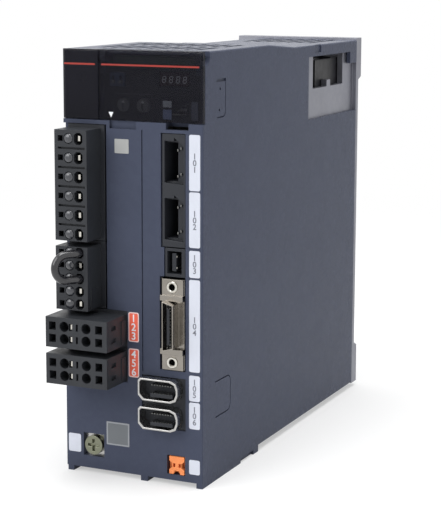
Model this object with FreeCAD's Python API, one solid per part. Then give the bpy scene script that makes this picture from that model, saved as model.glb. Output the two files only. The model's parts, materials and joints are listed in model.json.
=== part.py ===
import FreeCAD, Part
import math
import os

# Two-axis servo drive in a narrow upright housing, in millimetres.
#
# Every piece is drawn with x across the drive, y measured inwards from the
# front face and z up from the rails that it stands on.  The finished pieces
# are then moved so that the origin lies under the middle of the drive.
#
# Pieces on the left of the front keep their distance from the left side,
# those on the right from the right side, and both hang from the lower edge
# of the black front pieces.

# ---- housing -------------------------------------------------------------
WIDTH = 60.0
HEIGHT = 168.0              # rails to the top of the front section
BODY_DEPTH = 174.0          # front face to the mounting plane
WALL = 1.8                  # side, top and bottom walls
FRONT_WALL = 2.0
RAIL_HEIGHT = 2.0           # rails below the front edge of the housing
RAIL_LENGTH = 54.3
RAIL_WIDTH = 2.6
RAIL_INSET = 0.6            # left rail to the left side
MID_RAIL_INSET = 25.2       # middle of the middle rail to the right side
MID_RAIL_WIDTH = 3.0
RAIL_NOTCH_Y = 36.3         # notch in the outside of the right rail
RAIL_NOTCH_LENGTH = 13.0
RAIL_NOTCH_DEPTH = 1.2
REAR_RISE = 0.8             # the floor behind the rails lies this much higher
SLOPE_LENGTH = 28.0         # length over which the top slopes down
LOW_TOP_LENGTH = 16.0       # lower top from the slope to the side cut-out
TOP_DROP = 2.0
CORNER_ROUND = 0.8
CEILING_LAP = 0.3           # how far the walls inside run into the shell
GUIDE_RIB = 1.0             # ribs that hold the boards
GUIDE_FIT = 0.2
GUIDE_REACH = 3.0
GUIDE_Y = 24.0
GUIDE_LENGTH = 36.0

# ---- mounting base -------------------------------------------------------
BASE_THICKNESS = 3.0
PAD_RISE = 3.5              # mounting pads behind the base plate
PAD_HEIGHT = 19.5
PAD_CHAMFER = 1.5
BASE_BOTTOM_Z = 2.0
BASE_TOP_GAP = 1.0          # base plate ends this much below the housing's top
HOLE_RADIUS = 3.0
HOLE_EDGE = 6.0             # mounting holes from the left edge
HOLE_BELOW_TOP = 5.5        # upper hole below the base plate's top edge
SLOT_ABOVE_BOTTOM = 3.5     # round end of the lower slot above the base's edge

# ---- openings at the back of the housing ----------------------------------
CUTOUT_LENGTH = 60.5        # from the start of the openings to the base plate
CUTOUT_BELOW_TOP = 34.4
STRIP_HEIGHT = 5.0          # strip of housing left above the side cut-out
HOOK_LENGTH = 8.5
HOOK_DROP = 5.2
CLIP_START = 7.4            # recess behind the start of the cut-out
CLIP_WIDTH = 7.2
CLIP_HEIGHT = 3.4
CLIP_DEPTH = 0.6
NOTCH_WIDTH = 10.2          # screw access at the left corners
NOTCH_HEIGHT = 15.0
NOTCH_WALL = 1.3

# ---- snap tongues in the side walls ----------------------------------------
GROOVE_CUT = 0.6            # depth of the line round a tongue
GROOVE_LINE = 0.5           # width of that line
TONGUE_Y0, TONGUE_Y1 = 12.0, 20.4
TONGUE_LOW, TONGUE_HIGH = 1.4, 15.2     # upper tongue above the front pieces' edge
TONGUE_LIP = 1.1
TONGUE_ROUND = 2.5
DOT_SIZE = 1.0
DOTS = ((15.2, 12.4), (14.6, 4.4))      # y and height above that edge
LATCH_Y0, LATCH_Y1 = 11.3, 26.1
LATCH_Z0, LATCH_Z1 = 25.4, 40.1
LATCH_ROUND = 3.2

# ---- air slots -------------------------------------------------------------
SLOT_WIDTH = 2.6
SLOT_PITCH = 5.2
VENT_EDGE = 6.0             # slots to the sides of the housing
VENT_Y = (14.0, 38.0)       # the two rows in the top
VENT_LENGTH = 19.0
FLOOR_VENT_START = 7.7      # row in the floor behind the rails
FLOOR_VENT_END = 5.0        # and before the end of the boards

# ---- heat sink ------------------------------------------------------------
SINK_CLEARANCE = 0.2        # between the casting and the housing
SINK_WALL = 2.8
SINK_INSET = 11.8           # outer face of the casting's left wall to the left side
SINK_FRONT_GAP = 0.6        # casting's front edge behind the start of the cut-out
WINDOW_START = 9.4          # window edge behind the casting's front edge
WINDOW_LENGTH = 37.4
WINDOW_BELOW_TOP = 21.3
WINDOW_HEIGHT = 15.2
TAB_OFFSET = 1.5
TAB_WIDTH = 4.2
TAB_HEIGHT = 2.9
MODULE_PLATE = 4.0
PLATE_ROOT = 0.5            # how far joined walls run into each other
FIN_THICKNESS = 1.5
FIN_PITCH = 5.2
FIN_BOTTOM_Z = 8.0
FIN_TOP_GAP = 4.0           # fins to the fan above them
POST_RADIUS = 2.2           # six-sided posts that carry the driver board
POST_INSET = 7.1            # posts to the casting's sides
POST_MARGIN = 6.0           # posts to the ends of the driver board

# ---- fan ------------------------------------------------------------------
FAN_GAP = 0.3               # fan to the walls and ledges that hold it
FAN_THICKNESS = 15.0
FAN_RIM = 1.2
FAN_BELOW_TOP = 5.5         # fan to the top of the casting
FAN_HUB_RADIUS = 9.0
FAN_HUB_HEIGHT = 3.0        # fixed part of the hub
FAN_SPOKE = 2.0
FAN_SHAFT_RADIUS = 1.5
FAN_CLEARANCE = 0.06
FAN_BLADES = 7
BLADE_HALF = 4.0            # half of a blade's width along its turn
BLADE_THICKNESS = 1.2
BLADE_GAP = 1.6             # blade tips to the frame
BLADE_MARGIN = 0.8          # blades to the fixed hub and to the top
LEDGE = 2.5

# ---- front panel ----------------------------------------------------------
PANEL_HEIGHT = 27.0         # black front pieces
PANEL_GAP = 0.2
STRIP_INSET = 18.95         # right edge of the supply and link plugs' bay to the left side
BAY_INSET = 27.7            # right edge of the motor plugs' bay to the left side
BAY_EDGE = 1.6              # bay's upper edge above the supply plug
BAY_WALL = 1.2
GROOVE_INSET = 25.9         # upright groove to the right side
GROOVE_WIDTH = 0.5
GROOVE_DEPTH = 0.5
GROOVE_BOTTOM_Z = 44.0
SCOOP_START = 20.4          # finger scoop under the cover, from the left side
SCOOP_WIDTH = 11.4
SCOOP_HEIGHT = 3.0
SCOOP_DEPTH = 1.2
CABLE_NOTCH_INSET = 15.5    # notch for the cable of the service socket
CABLE_NOTCH_WIDTH = 9.5
CABLE_NOTCH_HEIGHT = 2.5
SHELF = 1.6
FIT = 0.25                  # between an inserted piece and its opening

# ---- black front pieces ---------------------------------------------------
COVER_INSET = 15.9          # left edge of the cover to the left side
COVER_PLATE = 1.7
COVER_SEAM = 0.3
HINGE_Y = 2.9
HINGE_BELOW_TOP = 2.6       # hinge axis below the top of the cover
PIN_RADIUS = 1.0
PIN_CLEARANCE = 0.06
PIN_ROOT = 0.5              # pins run this far into the cover
EYE_RADIUS = 1.9
EYE_CLEARANCE = 0.15
EYE_WIDTH = 2.0
EYE_SIDE_GAP = 0.2
EYE_WEB = 3.0               # web below the swing notch
BARREL_SPACE = 0.2          # round the cover's barrel
COVER_SWING_Y = 6.1         # top wall is cut back to here for the cover
SWING_NOTCH = 3.4
CHARGE_WALL = 2.0
DIVIDER = 1.4
LED_INSET, LED_RISE = 8.0, 16.0         # from the left side and above the lower edge
LED_RADIUS = 1.5
LED_FIT = 0.1
LED_LENGTH = 4.5
LEAD_PITCH = 1.6
LEAD_SIZE = 0.5

# ---- controls behind the cover, heights above the cover's lower edge ----------
CONTROL_Y = 5.0
CONTROL_PLATE = 1.6
CONTROL_RISE = 20.6
SWITCH_SIZE = 7.4
SWITCH_PITCH = 8.3
SWITCH_GAPS = (5.3, 4.6)    # left and right of the switches; they share the spare width
DIAL_RISE = 5.8
DIAL_RADIUS = 2.6
DIAL_CLEARANCE = 0.08
DIAL_WINDOW = 0.3
DIAL_PROUD = 1.2
DIAL_DEPTH = 3.0
DIAL_SLOT = 0.8
DIAL_SLOT_LENGTH = 3.4
DIP_OFFSET, DIP_RISE = 5.5, 15.4        # from the cover's left edge
DIP_WIDTH, DIP_HEIGHT = 6.4, 5.2
DIP_TRAVEL = 1.6
DIP_KNOB = 1.1
DIP_CLEARANCE = 0.08
DIP_PROUD = 0.8
DIP_DEPTH = 1.8
DISPLAY_INSET, DISPLAY_RISE = 20.6, 13.4
DISPLAY_WIDTH, DISPLAY_HEIGHT = 12.4, 5.6
FACE_PROUD = 0.4            # switch bodies in front of the control panel
USB_INSET, USB_RISE = 13.6, 4.4
USB_WIDTH, USB_HEIGHT = 7.8, 4.0
USB_SHEET = 0.4
USB_TONGUE_WIDTH, USB_TONGUE = 5.2, 1.0
POCKET_INSET = 18.0
POCKET_WIDTH = 11.6
POCKET_RISE = 8.8
POCKET_DEPTH = 2.2
POCKET_WALL = 1.0
BOARD = 1.6                 # thickness of the circuit boards
OPERATOR_BOARD_Y = 12.4

# ---- terminal plugs ---------------------------------------------------------
PLUG_CLEARANCE = 0.3        # plug to header
PLUG_INSERT = 8.0           # how far a plug reaches into its header
HEADER_FRONT_Y = 0.4
HEADER_WALL = 1.2
HEADER_BACK = 2.0
HEADER_FIT = 0.1
HEADER_SIDE = 0.9            # right side of the upper headers to the bay's edge
PIN_SIZE = 1.2
PIN_GAP = 0.15
PIN_TIP_Y = 3.4
PIN_TAIL = 0.8
ROUND_SIDES = 16            # sides of the small round holes and buttons

PLUG_INSET = 2.1            # left side of the supply and link plugs
PLUG_WIDTH = 14.0
PLUG_REACH = 10.4
PLUG_TOP_GAP = 3.2          # supply plug below the black front pieces
SUPPLY_HEIGHT = 42.8
SUPPLY_PITCH = 7.38
SUPPLY_CELLS = 6
SUPPLY_TOP_CELL = 3.3       # first cell below the top of the plug
LINK_GAP = 2.2              # between the supply plug and the link plug
LINK_HEIGHT = 24.9
LINK_PITCH = 5.03
LINK_CELLS = 5
LINK_TOP_CELL = 2.3
RIB_HALF = 0.4              # grooves between the cells of the supply plug
RIB_DEPTH = 1.2
EMBOSS_RISE = 0.3           # raised field on the side of the link plug
EMBOSS_HEIGHT = 7.4

PROBE_COLUMN = 2.6          # columns of cells from the plug's left side
BUTTON_COLUMN = 6.1
WIRE_COLUMN = 10.4
PROBE_SIZE = 2.2
PROBE_DEPTH = 6.0
WIRE_HOLE_WIDTH = 3.7
SUPPLY_HOLE_HEIGHT = 4.6
LINK_HOLE_HEIGHT = 4.0
WIRE_INSERT = 3.9           # how far the jumper's ends go in
CLAMP_FRONT = 1.4
CLAMP_HALF = 1.05
CLAMP_PLATE = 1.1
CLAMP_OFFSET = 0.9           # plate's left side to the middle of the wire hole
BUTTON_RADIUS = 1.95
BUTTON_CLEARANCE = 0.08
BUTTON_LENGTH = 3.6
BUTTON_PROUD = 0.7
BUTTON_TRAVEL = 1.2
BUTTON_EDGE = 0.7            # the front face is this much smaller all round
BUTTON_END_GAP = 0.2

MOTOR_GAP = 2.1             # link plug to the first motor plug
MOTOR_PITCH = 14.5
MOTOR_INSET = 0.2
MOTOR_WIDTH = 26.8
MOTOR_HEIGHT = 12.0
MOTOR_REACH = 15.5
MOTOR_NOSE_INSET = 1.8
MOTOR_FIRST_ROW = 3.6
MOTOR_ROW_PITCH = 4.9
MOTOR_WIRE = (3.0, 23.3)    # columns from the plug's left side
MOTOR_RELEASE = (8.2, 17.8)
MOTOR_CONTACT = 11.0
MOTOR_SLOT = 13.8
MOTOR_PIN = (7.2, 19.2)
MOTOR_WIRE_WIDTH, MOTOR_WIRE_HEIGHT = 3.0, 3.2
MOTOR_WIRE_DEPTH = 11.0
MOTOR_RELEASE_RADIUS = 2.0
MOTOR_RELEASE_DEPTH = 5.0
MOTOR_CONTACT_WIDTH, MOTOR_CONTACT_HEIGHT = 1.5, 2.7
MOTOR_SLOT_WIDTH = 0.9       # narrow slot beside the second release hole
MOTOR_CONTACT_DEPTH = 4.0
MOTOR_RIB = 0.4             # latch rib on the right side
MOTOR_LATCH_Y = -10.0
MOTOR_LATCH_SIZE = 1.7
MOTOR_LATCH_LENGTH = 3.4

# ---- jumper between the first and third cell of the link plug ---------------
JUMPER_REACH = 21.0
JUMPER_RADIUS = 1.6
JUMPER_SWING = 34.0         # degrees that the loop leans to the left
JUMPER_BEND = 4.0

# ---- connectors of the right column --------------------------------------------
COLUMN_INSET = 7.5          # right faces to the right side
COLUMN_WIDTH = 10.45
COLUMN_TOP_GAP = 4.0        # jacks below the black front pieces
COLUMN_GAPS = (0.4, 0.7, 3.3, 2.6, 10.7)    # from the top down; they share the height left
PLATE_FRONT = 0.3           # connector faces behind the front face
JACK_HEIGHT = 43.2
JACK_DEPTH = 16.0
JACK_PITCH = 21.8
SAFETY_HEIGHT = 11.1
SAFETY_WIDTH = 8.6
SAFETY_DEPTH = 11.0
IO_HEIGHT = 35.7
IO_CENTRE = 12.6            # middle of the connector to the right side
IO_WIDTH = 9.6
IO_REACH = 5.0              # connector shell in front of the housing
IO_END = 6.2                # screw block at each end
IO_EAR = 2.2
IO_SCREW_RADIUS = 1.3
IO_DEPTH = 12.0
ENCODER_INSET = 8.6
ENCODER_WIDTH = 17.0
ENCODER_HEIGHT = 8.8
ENCODER_REACH = 4.5
ENCODER_DEPTH = 14.0
SHELL = 0.5                 # wall of the input and output connector's shell
SHEET = 0.7                 # wall of the encoder connector shells
BATTERY_INSET = 7.7
BATTERY_WIDTH = 7.3
BATTERY_HEIGHT = 7.1
BATTERY_Z0 = 4.6
BATTERY_DEPTH = 10.0

# ---- earth terminal --------------------------------------------------------------
EARTH_INSET = 12.4
EARTH_Z = 11.6
EARTH_SIZE = 8.8
EARTH_PLATE = 1.5
EARTH_LAP = 1.0
STRAP_WIDTH = 4.0
STRAP_THICKNESS = 1.2
STRAP_RISE = 2.2
SCREW_RADIUS = 2.0
SCREW_HEAD_RADIUS = 3.9
SCREW_HEAD_PROUD = 0.4
CROSS_HALF = 2.5
CROSS_SLOT = 1.1

# ---- boards and parts inside -------------------------------------------------
CONTROL_BOARD_INSET = 6.8
POWER_BOARD_INSET = 3.6
BOARD_END_GAP = 4.0         # boards end before the heat sink
BOARD_EDGE_GAP = 0.2
CAPACITOR_RADIUS = 11.0
CAPACITOR_LENGTH = 34.0
CAPACITOR_END = 14.0        # capacitors' axes before the end of the board
CAPACITOR_Z = (44.0, 68.0, 92.0)
RELAY_SIZE = (16.0, 28.0, 12.0)
RELAY_Z = 16.0
INNER_PARTS_Y = 24.0
CORE_SIZE = (24.0, 30.0, 28.0)
CORE_STANDOFF = 4.0
COIL_SIZE = (32.0, 20.0, 18.0)
CORE_RISE = 5.0             # top of the transformer above the front pieces' edge
DRIVER_BOARD_GAP = 1.0
DRIVER_BOARD_RISE = 7.4
DRIVER_BOARD_DROP = 3.5
MODULE_SHARES = (6.2, 6.5)  # free pins and body share the depth behind the driver board
MODULE_WIDTH = 30.0
MODULE_HEIGHT = 22.0
MODULE_Z = (36.0, 84.0)
MODULE_PINS = 6
MODULE_PIN = 0.6
MODULE_PIN_PITCH = 5.0
MODULE_PIN_RISE = 2.0

# ---- values that follow --------------------------------------------------------
HALF = WIDTH / 2
INNER = HALF - WALL
FLOOR_Z = RAIL_HEIGHT
REAR_FLOOR_Z = RAIL_HEIGHT + REAR_RISE
LOW_TOP_Z = HEIGHT - TOP_DROP
CASE_DEPTH = BODY_DEPTH - PAD_RISE - BASE_THICKNESS
CUTOUT_Y = CASE_DEPTH - CUTOUT_LENGTH
TOP_LOW_Y = CUTOUT_Y - LOW_TOP_LENGTH
TOP_BREAK_Y = TOP_LOW_Y - SLOPE_LENGTH
CUTOUT_BOTTOM_Z = HEIGHT - CUTOUT_BELOW_TOP
STRIP_Z = LOW_TOP_Z - STRIP_HEIGHT
BASE_TOP_Z = HEIGHT - BASE_TOP_GAP
HOLE_X = -HALF + HOLE_EDGE
UPPER_HOLE_Z = BASE_TOP_Z - HOLE_BELOW_TOP
LOWER_HOLE_Z = BASE_BOTTOM_Z + SLOT_ABOVE_BOTTOM

PANEL_TOP_Z = HEIGHT - PANEL_HEIGHT         # top of the grey front wall
COVER_BOTTOM_Z = PANEL_TOP_Z + PANEL_GAP
COVER_LEFT_X = -HALF + COVER_INSET
CHARGE_RIGHT_X = COVER_LEFT_X - COVER_SEAM
DIVIDER_X = CHARGE_RIGHT_X - PANEL_GAP
HINGE_Z = HEIGHT - HINGE_BELOW_TOP
BARREL_RADIUS = HINGE_BELOW_TOP
EYE_X = DIVIDER_X + EYE_SIDE_GAP + CEILING_LAP
LED_X, LED_Z = -HALF + LED_INSET, PANEL_TOP_Z + LED_RISE
SCOOP_X = -HALF + SCOOP_START
GROOVE_X = HALF - GROOVE_INSET
CABLE_NOTCH_X = HALF - CABLE_NOTCH_INSET

CONTROL_BACK_Y = CONTROL_Y + CONTROL_PLATE
FACE_FRONT_Y = CONTROL_Y - FACE_PROUD
POCKET_X = HALF - POCKET_INSET
POCKET_TOP_Z = PANEL_TOP_Z + POCKET_RISE
DIAL_Z = PANEL_TOP_Z + DIAL_RISE
SPARE_WIDTH = POCKET_X - POCKET_WALL - DIVIDER_X - SWITCH_SIZE - SWITCH_PITCH
DIAL_1_X = DIVIDER_X + SPARE_WIDTH * SWITCH_GAPS[0] / sum(SWITCH_GAPS) + SWITCH_SIZE / 2
DIAL_X = (DIAL_1_X, DIAL_1_X + SWITCH_PITCH)
DIP_X, DIP_Z = COVER_LEFT_X + DIP_OFFSET, PANEL_TOP_Z + DIP_RISE
DISPLAY_X, DISPLAY_Z = HALF - DISPLAY_INSET, PANEL_TOP_Z + DISPLAY_RISE
USB_X, USB_Z = HALF - USB_INSET, PANEL_TOP_Z + USB_RISE

PLUG_X0 = -HALF + PLUG_INSET
PLUG_X1 = PLUG_X0 + PLUG_WIDTH
PLUG_FACE_Y = -PLUG_REACH
PROBE_X = PLUG_X0 + PROBE_COLUMN
BUTTON_X = PLUG_X0 + BUTTON_COLUMN
WIRE_X = PLUG_X0 + WIRE_COLUMN
SUPPLY_Z1 = PANEL_TOP_Z - PLUG_TOP_GAP
SUPPLY_Z0 = SUPPLY_Z1 - SUPPLY_HEIGHT
LINK_Z1 = SUPPLY_Z0 - LINK_GAP
LINK_Z0 = LINK_Z1 - LINK_HEIGHT
MOTOR_X0 = -HALF + MOTOR_INSET
MOTOR_X1 = MOTOR_X0 + MOTOR_WIDTH
MOTOR_FACE_Y = -MOTOR_REACH
MOTOR_TOP_Z = (LINK_Z0 - MOTOR_GAP, LINK_Z0 - MOTOR_GAP - MOTOR_PITCH)
STRIP_X = -HALF + STRIP_INSET
BAY_RIGHT_X = -HALF + BAY_INSET
BAY_TOP_Z = SUPPLY_Z1 + BAY_EDGE
BAY_STEP_Z = LINK_Z0 - MOTOR_GAP / 3
BAY_BOTTOM_Z = MOTOR_TOP_Z[1] - MOTOR_HEIGHT - 2 * FIT
HEADER_FLOOR_Y = HEADER_FRONT_Y + PLUG_INSERT + 1.0
TERMINAL_BOARD_Y = HEADER_FLOOR_Y + HEADER_BACK

COLUMN_X1 = HALF - COLUMN_INSET
COLUMN_X0 = COLUMN_X1 - COLUMN_WIDTH
JACK_Z1 = PANEL_TOP_Z - COLUMN_TOP_GAP
JACK_Z0 = JACK_Z1 - JACK_HEIGHT
BATTERY_Z1 = BATTERY_Z0 + BATTERY_HEIGHT
COLUMN_SPARE = JACK_Z0 - BATTERY_Z1 - SAFETY_HEIGHT - IO_HEIGHT - 2 * ENCODER_HEIGHT
GAPS = [COLUMN_SPARE * gap / sum(COLUMN_GAPS) for gap in COLUMN_GAPS]
SAFETY_Z1 = JACK_Z0 - GAPS[0]
SAFETY_Z0 = SAFETY_Z1 - SAFETY_HEIGHT
SAFETY_X0 = COLUMN_X1 - SAFETY_WIDTH
IO_Z1 = SAFETY_Z0 - GAPS[1]
IO_Z0 = IO_Z1 - IO_HEIGHT
IO_X = HALF - IO_CENTRE
ENCODER_A_Z = IO_Z0 - GAPS[2] - ENCODER_HEIGHT
ENCODER_B_Z = ENCODER_A_Z - GAPS[3] - ENCODER_HEIGHT
ENCODER_X1 = HALF - ENCODER_INSET
ENCODER_X0 = ENCODER_X1 - ENCODER_WIDTH
BATTERY_X1 = HALF - BATTERY_INSET
BATTERY_X0 = BATTERY_X1 - BATTERY_WIDTH
EARTH_X = -HALF + EARTH_INSET

CONTROL_BOARD_X = HALF - CONTROL_BOARD_INSET
POWER_BOARD_X = -HALF + POWER_BOARD_INSET
BOARD_END_Y = CUTOUT_Y - BOARD_END_GAP
SINK_FRONT_Y = CUTOUT_Y + SINK_FRONT_GAP
SINK_LEFT_X = -HALF + SINK_INSET
SINK_RIGHT_X = INNER - SINK_CLEARANCE
SINK_TOP_Z = LOW_TOP_Z - WALL - SINK_CLEARANCE
FAN_SIZE = SINK_RIGHT_X - SINK_LEFT_X - 2 * SINK_WALL - 2 * FAN_GAP
FAN_X = (SINK_LEFT_X + SINK_RIGHT_X) / 2
FAN_Y = CASE_DEPTH - FAN_GAP - FAN_SIZE / 2
FAN_TOP_Z = SINK_TOP_Z - FAN_BELOW_TOP
FAN_Z = FAN_TOP_Z - FAN_THICKNESS
FAN_BORE = FAN_SIZE / 2 - FAN_RIM
MODULE_PLATE_Y = FAN_Y - FAN_SIZE / 2 - FAN_GAP - MODULE_PLATE
WINDOW_Y = SINK_FRONT_Y + WINDOW_START
WINDOW_BOTTOM_Z = HEIGHT - WINDOW_BELOW_TOP
DRIVER_BOARD_Y = SINK_FRONT_Y + DRIVER_BOARD_GAP
DRIVER_BOARD_Z0 = REAR_FLOOR_Z + WALL + DRIVER_BOARD_RISE
DRIVER_BOARD_Z1 = FAN_Z - DRIVER_BOARD_DROP
POST_X = (SINK_LEFT_X + POST_INSET, SINK_RIGHT_X - POST_INSET)
POST_Z = (DRIVER_BOARD_Z0 + POST_MARGIN, DRIVER_BOARD_Z1 - POST_MARGIN)
FACE_Y = -(BODY_DEPTH + JUMPER_REACH) / 2 + JUMPER_REACH

pieces = {}


# ---- drawing helpers -------------------------------------------------------------
def vec(x, y, z):
    return FreeCAD.Vector(x, y, z)


def box(x0, x1, y0, y1, z0, z1):
    """Box between two corners."""
    return Part.makeBox(x1 - x0, y1 - y0, z1 - z0, vec(x0, y0, z0))


def rod_x(x0, x1, y, z, radius):
    return Part.makeCylinder(radius, x1 - x0, vec(x0, y, z), vec(1, 0, 0))


def rod_y(x, y0, y1, z, radius):
    return Part.makeCylinder(radius, y1 - y0, vec(x, y0, z), vec(0, 1, 0))


def rod_z(x, y, z0, z1, radius):
    return Part.makeCylinder(radius, z1 - z0, vec(x, y, z0), vec(0, 0, 1))


def slab_x(points, x0, x1):
    """Outline of (y, z) points, solid from x0 to x1."""
    wire = Part.makePolygon([vec(x0, y, z) for y, z in points + points[:1]])
    return Part.Face(wire).extrude(vec(x1 - x0, 0, 0))


def wire_y(points, y):
    """Closed outline of (x, z) points at one depth."""
    return Part.makePolygon([vec(x, y, z) for x, z in points + points[:1]])


def slab_y(points, y0, y1):
    """Outline of (x, z) points, solid from y0 to y1."""
    return Part.Face(wire_y(points, y0)).extrude(vec(0, y1 - y0, 0))


def many_sided(a, b, radius, sides=ROUND_SIDES):
    """Corners of a regular outline round (a, b), radius measured to its flats."""
    step = math.pi / sides
    reach = radius / math.cos(step)
    turns = [step * (2 * i + 1) for i in range(sides)]
    return [(a + reach * math.cos(t), b + reach * math.sin(t)) for t in turns]


def joined(shapes):
    """Fuse into one solid."""
    return shapes[0].multiFuse(shapes[1:]).removeSplitter()


def cut(shape, tools):
    return shape.cut(tools).removeSplitter()


def group(shapes):
    """Separate solids that share one node."""
    return Part.makeCompound(shapes)


def cells(top, first, pitch, count):
    """Heights of a plug's cells, from the top down."""
    return [top - first - pitch * i for i in range(count)]


# ---- housing ---------------------------------------------------------------------
def side_profile(inset):
    """Side view of the housing behind the front wall, walls set in by inset."""
    top, low = HEIGHT - inset, LOW_TOP_Z - inset
    floor, rear = FLOOR_Z + inset, REAR_FLOOR_Z + inset
    start, end = FRONT_WALL - inset, CASE_DEPTH + inset
    return [(start, floor), (RAIL_LENGTH, floor), (RAIL_LENGTH, rear), (end, rear),
            (end, low), (TOP_LOW_Y, low), (TOP_BREAK_Y, top), (start, top)]


def vent_slots(x0, x1, y0, y1, z0, z1):
    """Row of slots along y, side by side across x."""
    count = int((x1 - x0 - SLOT_WIDTH) / SLOT_PITCH) + 1
    margin = (x1 - x0 - SLOT_WIDTH - SLOT_PITCH * (count - 1)) / 2
    starts = [x0 + margin + SLOT_PITCH * i for i in range(count)]
    return [box(x, x + SLOT_WIDTH, y0, y1, z0, z1) for x in starts]


def all_vents():
    """Slots in the top and floor, and above and below the fan."""
    top, above = LOW_TOP_Z - WALL - 1, HEIGHT + 1
    floor = REAR_FLOOR_Z + WALL + 1
    side = HALF - VENT_EDGE
    x0, x1 = FAN_X - FAN_SIZE / 2 + 2, FAN_X + FAN_SIZE / 2 - 2
    y0, y1 = FAN_Y - FAN_SIZE / 2 + 3, FAN_Y + FAN_SIZE / 2 - 3
    slots = vent_slots(x0, x1, y0, y1, top, above) + vent_slots(x0, x1, y0, y1, 0, floor)
    for y in VENT_Y:
        slots += vent_slots(-side, side, y, y + VENT_LENGTH, top, above)
    return slots + vent_slots(-side, side, RAIL_LENGTH + FLOOR_VENT_START, BOARD_END_Y - FLOOR_VENT_END,
                              0, floor)


def quarter_line(y, z, radius, turn):
    """Outline of a quarter turn of a groove, from turn degrees on, about (y, z)."""
    steps = [math.radians(turn + 22.5 * i) for i in range(5)]
    outer = [(y + radius * math.cos(t), z + radius * math.sin(t)) for t in steps]
    inner = radius - GROOVE_LINE
    return outer + [(y + inner * math.cos(t), z + inner * math.sin(t)) for t in reversed(steps)]


def latch_grooves(side):
    """Lines round the snap tongues in a side wall, side is +1 or -1."""
    x0, x1, line = HALF - GROOVE_CUT, HALF + 1, GROOVE_LINE
    low, high = PANEL_TOP_Z + TONGUE_LOW, PANEL_TOP_Z + TONGUE_HIGH
    r, s = TONGUE_ROUND, LATCH_ROUND
    strokes = [(TONGUE_Y0, TONGUE_Y1, high, high + TONGUE_LIP),
               (TONGUE_Y1 - line, TONGUE_Y1, low + r, high),
               (TONGUE_Y0 + line, TONGUE_Y1 - r, low, low + line),
               (LATCH_Y0, LATCH_Y1 - s, LATCH_Z1 - line, LATCH_Z1),
               (LATCH_Y1 - line, LATCH_Y1, LATCH_Z0 + s, LATCH_Z1 - s),
               (LATCH_Y0 + line, LATCH_Y1 - s, LATCH_Z0, LATCH_Z0 + line)]
    strokes += [(y - DOT_SIZE / 2, y + DOT_SIZE / 2, PANEL_TOP_Z + rise - DOT_SIZE / 2,
                 PANEL_TOP_Z + rise + DOT_SIZE / 2) for y, rise in DOTS]
    solids = [box(x0, x1, *stroke) for stroke in strokes]
    corners = [(TONGUE_Y1 - r, low + r, r, 270), (LATCH_Y1 - s, LATCH_Z1 - s, s, 0),
               (LATCH_Y1 - s, LATCH_Z0 + s, s, 270)]
    solids += [slab_x(quarter_line(*corner), x0, x1) for corner in corners]
    if side < 0:
        solids = [s.mirror(vec(0, 0, 0), vec(1, 0, 0)) for s in solids]
    return solids


def corner_notch(upper):
    """Space for a mounting screw at a left corner of the back."""
    right = -HALF + NOTCH_WIDTH
    if upper:
        return (-HALF - 1, right, CUTOUT_Y, CASE_DEPTH + 1, BASE_TOP_Z - NOTCH_HEIGHT, HEIGHT + 1)
    return (-HALF - 1, right, CUTOUT_Y, CASE_DEPTH + 1, -1, BASE_BOTTOM_Z + NOTCH_HEIGHT)


def notch_lining(limits):
    x0, x1, y0, y1, z0, z1 = limits
    low = z0 - NOTCH_WALL if z0 > 0 else z0
    high = z1 + NOTCH_WALL if z0 <= 0 else z1
    return box(x0, x1 + NOTCH_WALL, y0 - NOTCH_WALL, y1, low, high)


def board_guides():
    """Pairs of ribs that hold the edges of the two upright boards."""
    y0, y1 = GUIDE_Y, GUIDE_Y + GUIDE_LENGTH
    low, high = FLOOR_Z + WALL, HEIGHT - WALL
    solids = []
    for x in (CONTROL_BOARD_X, POWER_BOARD_X):
        for left in (x - GUIDE_RIB - GUIDE_FIT, x + BOARD + GUIDE_FIT):
            right = left + GUIDE_RIB
            solids.append(box(left, right, y0, y1, low - CEILING_LAP, low + GUIDE_REACH))
            solids.append(box(left, right, y0, y1, high - 2 * GUIDE_REACH, high + CEILING_LAP))
    return solids


def hinge_eye(x0, x1, support_x):
    """Eye of the cover's hinge on a web that hangs from the wall at support_x."""
    notch_z = HINGE_Z - SWING_NOTCH
    web_z = notch_z - EYE_WEB
    back = HINGE_Y + EYE_RADIUS
    web = box(x0, x1, HINGE_Y - EYE_RADIUS, back, web_z, HINGE_Z)
    web = web.cut(box(x0, x1, 0, COVER_PLATE + EYE_CLEARANCE, web_z, HINGE_Z))
    foot = box(min(x0, support_x), max(x1, support_x), COVER_PLATE + 2 * EYE_SIDE_GAP, back, web_z, notch_z)
    return [web, rod_x(x0, x1, HINGE_Y, HINGE_Z, EYE_RADIUS), foot]


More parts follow.
